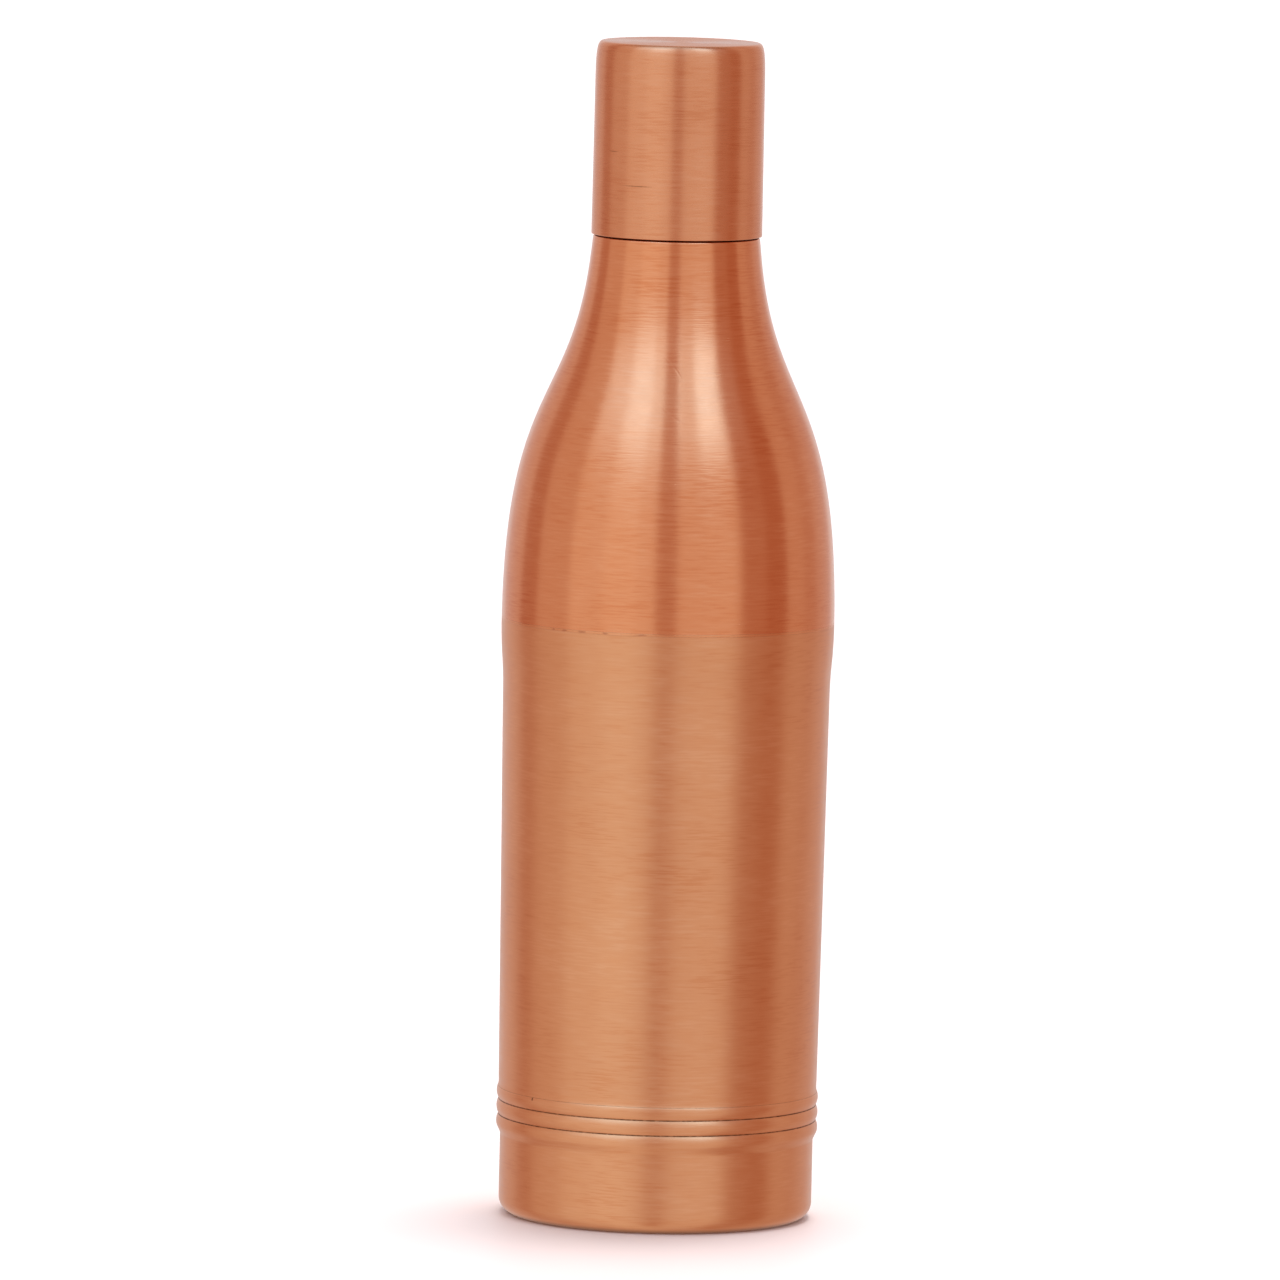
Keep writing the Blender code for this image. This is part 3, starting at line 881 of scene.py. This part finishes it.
@dataclass
class Body:
    """The two spun shells and the brazed seam between them."""

    seam: Span
    sheet: float = 0.6 * MM
    gap: float = 0.3 * MM
    band_radius: float = 38.0 * MM
    band_top: float = 18.2 * MM
    foot_corner: float = 3.9 * MM
    foot_flange: float = 1.1 * MM
    bead_count: int = 3
    bead_pitch: float = 3.7 * MM
    bead_depth: float = 0.52 * MM
    bead_swell: float = 2.25 * MM
    bead_step: float = 0.5 * MM
    bead_foot: float = 1.0 * MM
    foot_handles: tuple[float, ...] = (-1.3, -0.7, 0.5)
    foot_tuck: float = 0.12
    bead_fillet: float = 0.8 * MM
    fillet_handle: float = 0.3
    tube_step: float = 0.62 * MM
    tube_ease: float = 1.8 * MM
    tube_top_radius: float = 39.57 * MM
    tube_flare: float = 18.5 * MM
    seam_gap: float = 0.01 * MM
    seam_edge: float = 0.02 * MM
    seam_marks: tuple[tuple[float, float], ...] = (
        (-43.0, 0.5 * MM), (-38.0, 0.9 * MM), (-31.0, 1.3 * MM), (-22.0, 0.8 * MM), (-9.0, 1.6 * MM),
    )
    neck_inset: float = 0.45 * MM
    seat_corner: float = 0.6 * MM
    seat_wall: float = 0.4 * MM
    spigot_radius: float = 16.0 * MM
    shoulder_handles: tuple[tuple[float, float], ...] = (
        (0.0, 1.0), (0.291, 1.0), (0.702, 0.837), (0.510, 0.124), (0.94, 0.042), (1.0, 0.0)
    )

    def build(self) -> None:
        """Builds, dresses and installs the lower shell, the upper shell and the seam."""
        self._lower()
        self._upper()
        self._seam()

    def _beads(self, bottom: float) -> np.ndarray:
        """The rolled beads, bottom to top: equal arcs that meet in sharp valleys.

        Each arc's radius is its chord squared over 8 times its height, plus half its height.

        Args:
            bottom: height of the lowest valley.

        Returns:
            The outline of all the beads.
        """
        radius = self.bead_pitch**2 / (8 * self.bead_depth) + self.bead_depth / 2
        half = math.asin(self.bead_pitch / 2 / radius)
        angle = np.linspace(-half, half, 17)[:-1]
        middle = self.band_radius + self.bead_step + self.bead_depth - radius
        arc = np.column_stack((middle + radius * np.cos(angle), radius * np.sin(angle)))
        rises = bottom + (np.arange(self.bead_count) + 0.5) * self.bead_pitch
        return np.concatenate([arc + (0, rise) for rise in rises])

    def _wall(self) -> np.ndarray:
        """Outside of the lower shell from the foot's corner up to the seam.

        Returns:
            The outline: band, beads and tube, with Bezier curves under and over the beads.
        """
        beads_bottom = self.band_top + self.bead_swell
        beads_top = beads_bottom + self.bead_count * self.bead_pitch
        valley = self.band_radius + self.bead_step
        tube = self.band_radius + self.tube_step
        beads = self._beads(beads_bottom)
        beads = beads[beads[:, 1] > beads_bottom + self.bead_foot]
        radii = (self.band_radius, self.band_radius, beads[0, 0] - self.foot_tuck * self.bead_foot)
        heights = (beads_bottom + share * self.bead_foot for share in self.foot_handles)
        under = [*zip(radii, heights), tuple(beads[0])]
        last = beads[beads[:, 1] > beads_top - self.bead_fillet][0]
        ease = (valley, beads_top - self.fillet_handle * self.bead_fillet)
        over = [tuple(last), ease, (tube, beads_top + self.tube_ease)]
        flare = (self.tube_top_radius, self.seam.low - self.gap - self.tube_flare)
        return np.concatenate((
            [(self.band_radius, self.band_top - self.bead_swell)],
            bezier(under, 12)[:-1],
            beads[beads[:, 1] < last[1]],
            bezier(over, 12),
            eased(flare, (self.seam.radius, self.seam.low - self.seam_gap), 24),
        ))

    def _lower(self) -> None:
        """Foot, band, beads and tube, with the collar that laps inside the upper shell."""
        wall = self._wall()
        corner = self.band_radius - self.foot_corner
        foot = rounded(
            [
                (corner - self.foot_flange, self.sheet, 0.2 * MM),
                (corner - self.foot_flange, 0.0, 0.25 * MM),
                (self.band_radius, 0.0, self.foot_corner),
                (self.band_radius, self.foot_corner + self.sheet, 0.0),
            ],
            steps=10,
        )
        shell = span_of("lower_shell")
        lap = self.seam.radius - self.sheet - self.gap
        lap_end = [(lap, self.seam.low), (lap, shell.high), (lap - self.sheet, shell.high)]
        inner = inside_of(wall, self.sheet)
        low_corner = rounded(
            [
                (self.band_radius - self.sheet, self.foot_corner + self.sheet, 0.0),
                (self.band_radius - self.sheet, self.sheet, self.foot_corner - self.sheet),
                (corner - self.foot_flange, self.sheet, 0.0),
            ],
            steps=8,
        )
        outer = np.concatenate((foot[1:], wall, np.array(lap_end[:1])))
        inside = np.concatenate((np.array(lap_end[1:]), inner[::-1][1:], low_corner[:-1]))
        finish = BrushedCopper(
            "satin_copper",
            colour=(0.762, 0.312, 0.142),
            deep_colour=(0.70, 0.258, 0.110),
            pale_colour=(0.81, 0.36, 0.178),
            roughness=0.35,
            stretch_of_glints=0.64,
            line_depth=0.007 * MM,
            groove_bend=2.0,
            # painted shade along the foot's bottom edge
            foot_painted_shade=1.6 * MM,
            nicks=(
                Nick(-49.0, 113.4 * MM, 0.4 * MM, 0.9 * MM, 0.6),
                Nick(-50.8, 30.8 * MM, 0.5 * MM, 1.2 * MM),
            ),
            nick_radius=39.0 * MM,
        )
        outline = joined((outer, Face.POLISHED), (inside, Face.BARE))
        relief = Waviness(depth=0.10 * MM, seed=4, still_height=self.seam.high)
        install("lower_shell", "body_copper", outline, finish, pitch=1.6 * MM, relief=relief)

    def _upper(self) -> None:
        """Shoulder and neck, closed by the flat seat that holds the neck ring."""
        shell = span_of("upper_shell")
        neck = span_of("cap_shell").radius - self.neck_inset
        top = shell.high - self.seat_corner
        base = self.seam.high + self.seam_gap
        curve = bezier(
            [
                (neck + (shell.radius - neck) * drop, base + (top - base) * rise)
                for rise, drop in self.shoulder_handles
            ],
            90,
        )
        seat = rounded(
            [
                (neck, top - self.seat_wall, 0.0),
                (neck, shell.high, self.seat_corner),
                (self.spigot_radius, shell.high, 0.1 * MM),
                (self.spigot_radius, shell.high - self.sheet, 0.1 * MM),
                (neck - self.sheet, shell.high - self.sheet, 0.2 * MM),
                (neck - self.sheet, top - self.seat_wall, 0.0),
            ],
        )
        inner = inside_of(curve, self.sheet)
        turned_in = len(seat) // 2
        outer = np.concatenate((curve[:-1], seat[1:turned_in]))
        inside = np.concatenate((seat[turned_in:-1], inner[::-1][1:]))
        finish = BrushedCopper(
            "bright_copper",
            colour=(0.765, 0.27, 0.118),
            deep_colour=(0.70, 0.215, 0.085),
            pale_colour=(0.81, 0.315, 0.15),
            line_depth=0.015 * MM,
            roughness=0.22,
            groove_bend=2.0,
            tone_size=0.03,
        )
        outline = joined((outer, Face.POLISHED), (inside, Face.BARE))
        relief = Waviness(depth=0.08 * MM, seed=9, still_height=self.seam.high)
        install("upper_shell", "shoulder_copper", outline, finish, pitch=1.6 * MM, relief=relief)

    def _seam(self) -> None:
        """Filler metal ground back flush between the two shells and polished over with them."""
        inner = self.seam.radius - self.sheet
        corners = [
            (inner, self.seam.low, 0.0),
            (self.seam.radius, self.seam.low, self.seam_edge),
            (self.seam.radius, self.seam.high, self.seam_edge),
            (inner, self.seam.high, 0.0),
        ]
        outline = rounded(corners, closed=True, steps=2)
        finish = BrushedCopper(
            "seam_copper",
            colour=(0.77, 0.295, 0.13),
            deep_colour=(0.71, 0.24, 0.10),
            pale_colour=(0.80, 0.33, 0.16),
            roughness=0.30,
            dirt_and_shade_colour=(0.30, 0.06, 0.035),
            groove_bend=30.0,
            specks=0.3,
            nicks=tuple(
                Nick(angle, (self.seam.low + self.seam.high) / 2, 1.5 * half, 0.4 * MM, 0.4)
                for angle, half in self.seam_marks
            ),
            nick_radius=self.seam.radius,
        )
        relief = Lumps(depth=0.015 * MM, pitch=2 * MM, seed=3)
        shape = {"pitch": 0.15 * MM, "segments": 512, "relief": relief}
        install("body_seam_braze", "filler", outline, finish, **shape)


@dataclass
class Base:
    """The dished bottom and the filler metal round its rim."""

    rim_width: float = 3.2 * MM
    step_height: float = 5.0 * MM
    step_width: float = 6.5 * MM
    crown: float = 0.8 * MM
    sheet: float = 0.6 * MM

    def build(self) -> None:
        """Builds, dresses and installs the disc and its filler ring."""
        self._disc()
        install_fillet("base_braze", (-1, 1), seed=11)

    def _disc(self) -> None:
        """A disc with a flat rim, an S-shaped step and a crown that rises as a parabola."""
        span = span_of("base_disc")
        step_out = span.radius - self.rim_width
        step_in = step_out - self.step_width
        middle = (step_out + step_in) / 2
        dish = span.low + self.step_height
        step = bezier([(step_out, span.low), (middle, span.low), (middle, dish), (step_in, dish)], 24)
        radius = np.linspace(step_in, 0, 20)[1:]
        crown = np.column_stack((radius, dish + self.crown * (1 - (radius / step_in) ** 2)))
        under = np.concatenate((step, crown))
        above = inside_of(under[::-1], self.sheet)
        above[0, 0] = 0.0
        rim = rounded(
            [
                (step_out, span.low + self.sheet, 0.0),
                (span.radius, span.low + self.sheet, 0.15 * MM),
                (span.radius, span.low, 0.15 * MM),
                (step_out, span.low, 0.0),
            ],
        )
        outline = np.concatenate((above[:-1], rim[1:-1], under))
        finish = BrushedCopper(
            "spun_copper",
            colour=(0.66, 0.29, 0.155),
            deep_colour=(0.50, 0.19, 0.095),
            pale_colour=(0.72, 0.34, 0.19),
            roughness=0.36,
            stretch_of_glints=0.7,
            lines_per_metre=2200.0,
            line_depth=0.012 * MM,
            tone_size=0.014,
            tone_contrast=1.8,
        )
        relief = Waviness(depth=0.04 * MM, seed=6)
        install("base_disc", "inner_copper", outline, finish, ends=Ends.POLES, relief=relief)


def install_fillet(node: str, ways: tuple[int, int], seed: int) -> None:
    """Builds and installs a ring of filler metal whose section is a triangle with a hollow face.

    The face is the curve (size (1 - t)^1.6, size t^1.6) from the end of one leg to the other's.

    Args:
        node: the CAD node that it stands for.
        ways: 1 or -1 for the way that each leg runs from their corner, outwards and upwards.
        seed: seed of its lumps.
    """
    span = span_of(node)
    size = span.high - span.low
    corner = (span.radius - size * (ways[0] > 0), span.low if ways[1] > 0 else span.high)
    t = np.linspace(0, 1, 13)
    face = np.column_stack((1 - t, t)) ** 1.6 * size * ways + corner
    relief = Lumps(depth=0.12 * MM, pitch=3 * MM, seed=seed)
    shape = {"pitch": 0.12 * MM, "segments": 512, "relief": relief}
    install(node, "filler", np.vstack(([corner], face)), FillerMetal(node + "_metal"), **shape)


@dataclass(frozen=True)
class ScrewSizes:
    """The thread that the mouth and the cap share."""

    depth: float = 1.2 * MM
    lead: float = 5.0 * MM
    turns: float = 2.0
    root_width: float = 3.0 * MM
    flank: float = 0.7 * MM
    axial_gap: float = 0.4 * MM
    radial_gap: float = 0.35 * MM
    start_rise: float = 3.1 * MM
    start_turn: float = 0.0125
    collar_height: float = 1.5 * MM
    collar_proud: float = 1.1 * MM
    gap: float = 0.3 * MM

    def collar_top(self) -> float:
        """Height of the top of the mouth's collar."""
        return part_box("upper_shell")[1].z + self.gap + self.collar_height

    def root(self) -> float:
        """Radius of the mouth's wall between the turns."""
        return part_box("neck_ring")[1].x - self.collar_proud - self.depth

    def ridge(self, wall_radius: float, half_width: float, behind: float = 0.0) -> Thread:
        """The ridge on one of the two walls.

        Args:
            wall_radius: radius of the wall that carries it.
            half_width: half of its width at the wall.
            behind: share of a turn by which it starts behind the mouth's.

        Returns:
            The relief of that wall.
        """
        return Thread(
            wall_radius=wall_radius,
            depth=self.depth,
            lead=self.lead,
            turns=self.turns,
            half_width=half_width,
            start_height=self.collar_top() + self.start_rise,
            start_turn=self.start_turn - behind,
            flank=self.flank,
        )


@dataclass
class Mouth:
    """The threaded neck ring and the filler metal that holds it."""

    screw: ScrewSizes
    wall: float = 1.4 * MM

    def build(self) -> None:
        """Builds, dresses and installs the ring and its filler."""
        span, screw = span_of("neck_ring"), self.screw
        root, seat = screw.root(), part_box("upper_shell")[1].z + screw.gap
        mouth = root - self.wall
        outline = rounded(
            [
                (mouth, span.low, 0.2 * MM),
                (root, span.low, 0.2 * MM),
                (root, seat, 0.05 * MM),
                (span.radius, seat, 0.15 * MM),
                (span.radius, screw.collar_top(), 0.2 * MM),
                (root, screw.collar_top(), 0.25 * MM),
                (root, span.high, 0.69 * MM),
                (mouth, span.high, 0.69 * MM),
            ],
            closed=True,
            steps=8,
        )
        ridge = screw.ridge(root, screw.root_width / 2)
        finish = BrushedCopper(
            "turned_copper",
            colour=(0.70, 0.31, 0.165),
            deep_colour=(0.58, 0.22, 0.11),
            pale_colour=(0.78, 0.38, 0.21),
            roughness=0.26,
            stretch_of_glints=0.6,
            lines_per_metre=5200.0,
            tone_size=0.010,
            tone_contrast=1.6,
        )
        shape = {"pitch": 0.14 * MM, "segments": 288, "relief": ridge}
        install("neck_ring", "inner_copper", outline, finish, **shape)
        install_fillet("neck_braze", (1, -1), seed=12)


@dataclass
class Cap:
    """The drawn outer cup, the threaded sleeve inside it, their filler metal and the washer."""

    screw: ScrewSizes
    sheet: float = 0.6 * MM
    taper: float = 0.17 * MM
    mouth_corner: float = 0.25 * MM
    mouth_lip: float = 0.12 * MM
    edge_height: float = 10.0 * MM
    edge_width: float = 1.9 * MM
    edge_squareness: float = 0.15
    edge_fall: float = 0.2
    top_dish: float = 0.12 * MM
    mouth_wall: float = 1 * MM
    sleeve_wall: float = 0.9 * MM
    washer_width: float = 5.25 * MM
    washer_inset: float = 0.4 * MM
    washer_corner: float = 0.3 * MM
    washer_groove: float = 0.12 * MM
    lip_inset: float = 0.7 * MM
    lip_width: float = 0.5 * MM

    def build(self) -> None:
        """Builds, dresses and installs the four pieces."""
        self._shell()
        self._sleeve()
        self._washer()
        install_fillet("sleeve_braze", (-1, -1), seed=13)

    def _shell(self) -> None:
        """The outer cup: a straight wall, a rounded top edge and a top dished by a parabola."""
        span = span_of("cap_shell")
        side = span.radius - self.taper
        face = side - self.edge_width
        edge = bezier(
            [
                (side, span.high - self.edge_height),
                (side, span.high - self.edge_squareness * self.edge_height),
                (side - self.edge_fall * self.edge_width, span.high),
                (face, span.high),
            ],
            36,
        )
        radius = np.linspace(face, 0, 24)[1:]
        dish = np.column_stack((radius, span.high - self.top_dish * smooth(1 - radius / face)))
        bore, low = span.radius - self.sheet, span.low - self.mouth_lip
        mouth = rounded(
            [
                (bore, low + self.mouth_wall, 0.0),
                (bore, low, 0.12 * MM),
                (span.radius, low, self.mouth_corner),
                (span.radius - 0.01 * MM, low + self.mouth_wall, 0.0),
            ],
            steps=8,
        )
        hidden = 7  # points of the mouth's run that stay unpolished
        outside = np.concatenate((mouth[hidden:], edge, dish))
        inside = inside_of(np.concatenate((edge, dish)), self.sheet)[::-1]
        inside[0, 0] = 0.0
        bare = np.concatenate((inside, mouth[:hidden]))
        outline = joined((bare, Face.BARE), (outside, Face.POLISHED))
        finish = BrushedCopper(
            "cap_copper",
            colour=(0.745, 0.285, 0.136),
            deep_colour=(0.68, 0.235, 0.105),
            pale_colour=(0.785, 0.325, 0.165),
            roughness=0.28,
            stretch_of_glints=0.7,
            line_depth=0.014 * MM,
            tone_size=0.02,
            nicks=(
                Nick(-29.0, 251.0 * MM, 6.0 * MM, 0.22 * MM, 0.55),
                Nick(-50.0, 259.0 * MM, 2.4 * MM, 0.2 * MM, 0.5),
            ),
            nick_radius=20.6 * MM,
        )
        relief = Waviness(depth=0.05 * MM, pitch=40 * MM, seed=21)
        install("cap_shell", "cap_copper", outline, finish, ends=Ends.POLES, relief=relief)

    def _sleeve(self) -> None:
        """The inner cup: a flange at its mouth, a threaded bore and a flat ceiling."""
        span, screw = span_of("cap_sleeve"), self.screw
        bore = screw.root() + screw.depth + screw.radial_gap
        outer = bore + self.sleeve_wall
        ceiling = span.high - self.sleeve_wall
        flange = span.low + self.sleeve_wall
        outline = rounded(
            [
                (0.0, ceiling, 0.0),
                (bore, ceiling, 0.15 * MM),
                (bore, span.low, 0.3 * MM),
                (span.radius, span.low, 0.15 * MM),
                (span.radius, flange, 0.15 * MM),
                (outer, flange, 0.3 * MM),
                (outer, span.high, self.sleeve_wall),
                (0.0, span.high, 0.0),
            ],
            steps=8,
        )
        overlap = bore - screw.root()
        lost = screw.flank * overlap / screw.depth
        half_width = screw.lead / 2 - screw.root_width / 2 + lost - screw.axial_gap
        ridge = screw.ridge(bore, half_width, behind=0.5)
        finish = BrushedCopper(
            "sleeve_copper",
            colour=(0.68, 0.30, 0.16),
            deep_colour=(0.54, 0.20, 0.10),
            pale_colour=(0.74, 0.35, 0.19),
            roughness=0.32,
            stretch_of_glints=0.6,
            lines_per_metre=4200.0,
            tone_size=0.010,
            tone_contrast=1.7,
        )
        shape = {"ends": Ends.POLES, "pitch": 0.14 * MM, "segments": 224, "relief": ridge}
        install("cap_sleeve", "inner_copper", outline, finish, **shape)

    def _washer(self) -> None:
        """A flat washer with rounded edges, marked on its underside by the rim of the mouth."""
        span = span_of("cap_gasket")
        inner, corner = span.radius - self.washer_width, self.washer_corner
        first, last = inner + self.washer_inset, span.radius - self.washer_inset
        lip = self.screw.root() - self.lip_inset
        radius = np.linspace(first, last, 60)
        press = np.exp(-(((radius - lip) / self.lip_width) ** 2))
        under = np.column_stack((radius, span.low + self.washer_groove * press))
        rim = rounded(
            [
                (last, span.low, 0.0),
                (span.radius, span.low, corner),
                (span.radius, span.high, corner),
                (inner, span.high, corner),
                (inner, span.low, corner),
                (first, span.low, 0.0),
            ],
            steps=6,
        )
        outline = np.concatenate((under, rim[1:-1]))
        install("cap_gasket", "washer", outline, SiliconeWasher(), pitch=0.3 * MM)


@dataclass(frozen=True)
class Panel:
    """A soft light or a dark card that stands round the bottle, from floor to ceiling.

    Its level is 0 for the card's colour and 1 for the box's, and its glow is how far its upper
    part turns into the lamp's own colour.
    """

    azimuth: float
    half_width: float
    softness: float
    level: float
    glow: float = 0.0


@dataclass
class Studio:
    """White sweep, soft panels round the bottle, and the camera."""

    camera_distance: float = 3.5
    camera_height: float = 0.49
    lens: float = 409.0
    aim_side: float = -6.66 * MM
    aim_height: float = 139.9 * MM
    roll_deg: float = 1.29
    floor_half: float = 9.0
    # pink tint: painted warm bounce light from the copper in the floor's shadows; the lit floor clips to
    # white
    floor_colour_with_painted_bounce: Colour = (0.95, 0.81, 0.79)
    surround: float = 0.33
    card_colour: Colour = (0.49, 0.25, 0.17)
    box_colour: Colour = (1.10, 1.30, 1.40)
    lamp_colour: Colour = (1.40, 2.50, 3.95)
    lamp_rise: tuple[float, float] = (17.0, 43.0)
    ceiling_rise: tuple[float, float] = (44.0, 62.0)
    ceiling: float = -0.35
    ambient: float = 0.88
    floor_light: float = 2.0
    floor_light_angle_deg: float = 22.0
    floor_light_azimuth_deg: float = 20.0
    floor_light_rise_deg: float = 79.0
    panels: tuple[Panel, ...] = (
        Panel(180.0, 22.0, 10.0, 0.50),
        Panel(-140.0, 11.0, 6.0, 0.40),
        Panel(-114.0, 7.0, 6.0, 0.15),
        Panel(-88.0, 12.0, 8.0, 0.42, 0.04),
        Panel(-46.0, 25.0, 6.0, 0.66, 0.50),
        Panel(-34.0, 9.0, 9.0, 0.77, 1.0),
        Panel(-16.0, 4.0, 5.0, 0.68, 0.6),
        Panel(28.0, 22.0, 7.0, 0.58, 0.9),
        Panel(16.0, 5.0, 6.0, 0.58, 0.42),
        Panel(38.0, 8.0, 6.0, 0.60, 1.1),
        Panel(-1.0, 4.0, 5.0, 0.24, 0.10),
        Panel(67.0, 10.0, 10.0, 0.15, 0.10),
        Panel(82.0, 7.0, 5.0, 0.06),
        Panel(98.0, 3.0, 6.0, 0.35),
        Panel(118.0, 4.0, 7.0, 0.25),
    )

    def build(self) -> None:
        """Builds the camera, the world, the floor and the lamp that whitens it."""
        self._camera()
        self._world()
        self._floor()
        self._floor_light()
        bpy.context.scene.view_settings.view_transform = "Standard"

    def _camera(self) -> None:
        """A long lens from the front, a little above, rolled so that the bottle leans right."""
        data = bpy.data.cameras.new("camera")
        data.lens = self.lens
        data.clip_start, data.clip_end = 0.1, 60.0
        camera = bpy.data.objects.new("camera", data)
        bpy.context.scene.collection.objects.link(camera)
        eye = Vector((self.aim_side, -self.camera_distance, self.camera_height))
        aim = Vector((self.aim_side, 0.0, self.aim_height))
        look = (aim - eye).to_track_quat("-Z", "Y").to_matrix()
        roll = Matrix.Rotation(math.radians(self.roll_deg), 3, "Z")
        camera.matrix_world = Matrix.Translation(eye) @ (look @ roll).to_4x4()
        bpy.context.scene.camera = camera

    def _world(self) -> None:
        """A pale surround whose panels stand at set directions round the bottle.

        Each panel in turn covers what stands behind it. The level that results is coloured
        between the card's colour and the box's, and the glow adds the lamp's colour higher up.
        The floor is lit by plain white instead, and the backdrop is plain white.
        """
        world = bpy.data.worlds.new("studio")
        bpy.context.scene.world = world
        world.use_nodes = True
        graph = Graph(world.node_tree)
        way = graph.node("ShaderNodeTexCoord").outputs["Generated"]
        x, y, z = graph.apart(way)
        azimuth = graph.math("ARCTAN2", x, graph.times(y, -1.0))
        azimuth = graph.times(azimuth, 180 / math.pi)
        height = graph.times(graph.math("ARCSINE", z), 180 / math.pi)
        level, glow = self.surround, 0.0
        for panel in self.panels:
            inputs = {
                "Azimuth": azimuth,
                "Centre": panel.azimuth,
                "Half width": panel.half_width,
                "Softness": panel.softness,
            }
            mask = graph.effect("panel", inputs)["Mask"]
            level = graph.node("ShaderNodeMix", {0: mask, 2: level, 3: panel.level}).outputs[0]
            glow = graph.node("ShaderNodeMix", {0: mask, 2: glow, 3: panel.glow}).outputs[0]
        colour = graph.mix(level, self.card_colour, self.box_colour)
        lit = graph.times(graph.ramp(height, *self.lamp_rise), glow)
        colour = graph.mix(lit, colour, self.lamp_colour)
        gain = graph.total(1.0, (graph.ramp(height, *self.ceiling_rise), self.ceiling))
        light = world.node_tree.nodes["Background"]
        graph.feed(light, {"Color": colour, "Strength": gain})
        path = graph.node("ShaderNodeLightPath").outputs
        shader = light.outputs[0]
        for ray, strength in (("Is Diffuse Ray", self.ambient), ("Is Camera Ray", 1.0)):
            white = graph.node("ShaderNodeBackground", {"Color": opaque(WHITE), "Strength": strength})
            inputs = {0: path[ray], 1: shader, 2: white.outputs[0]}
            shader = graph.node("ShaderNodeMixShader", inputs).outputs[0]
        graph.feed(world.node_tree.nodes["World Output"], {0: shader})

    def _floor(self) -> None:
        """A pale floor, tinted pink as painted bounce light from the copper: the tint shows only in its
        shadows, since the lit floor clips to white.
        """
        half = self.floor_half
        mesh = bpy.data.meshes.new("floor")
        corners = [(-half, -half, 0.0), (half, -half, 0.0), (half, half, 0.0), (-half, half, 0.0)]
        mesh.from_pydata(corners, [], [(0, 1, 2, 3)])
        floor = bpy.data.objects.new("floor", mesh)
        bpy.context.scene.collection.objects.link(floor)
        floor.visible_glossy = False
        material, graph, shader = new_material("white_floor")
        graph.feed(shader, {"Base Color": opaque(self.floor_colour_with_painted_bounce), "Roughness": 0.5})
        mesh.materials.append(material)

    def _floor_light(self) -> None:
        """A soft lamp high behind, for the floor alone: it stays out of the metal's reflections."""
        data = bpy.data.lights.new("floor_light", "SUN")
        data.energy = self.floor_light
        data.angle = math.radians(self.floor_light_angle_deg)
        rise, azimuth = math.radians(self.floor_light_rise_deg), math.radians(self.floor_light_azimuth_deg)
        flat = math.cos(rise)
        way = Vector((flat * math.sin(azimuth), flat * math.cos(azimuth), math.sin(rise)))
        lamp = bpy.data.objects.new("floor_light", data)
        lamp.matrix_world = way.to_track_quat("Z", "Y").to_matrix().to_4x4()
        lamp.visible_glossy = False
        bpy.context.scene.collection.objects.link(lamp)


def main() -> None:
    """Builds the effects, then each sub-assembly, then the studio."""
    logging.basicConfig(level=logging.INFO, format="%(message)s")
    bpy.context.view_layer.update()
    for build in (build_brushing, build_tone, build_wear, build_scratches, build_nick, build_panel):
        build()
    screw = ScrewSizes()
    for assembly in (Body(span_of("body_seam_braze")), Base(), Mouth(screw), Cap(screw), Studio()):
        assembly.build()


if __name__ == "__main__":
    main()
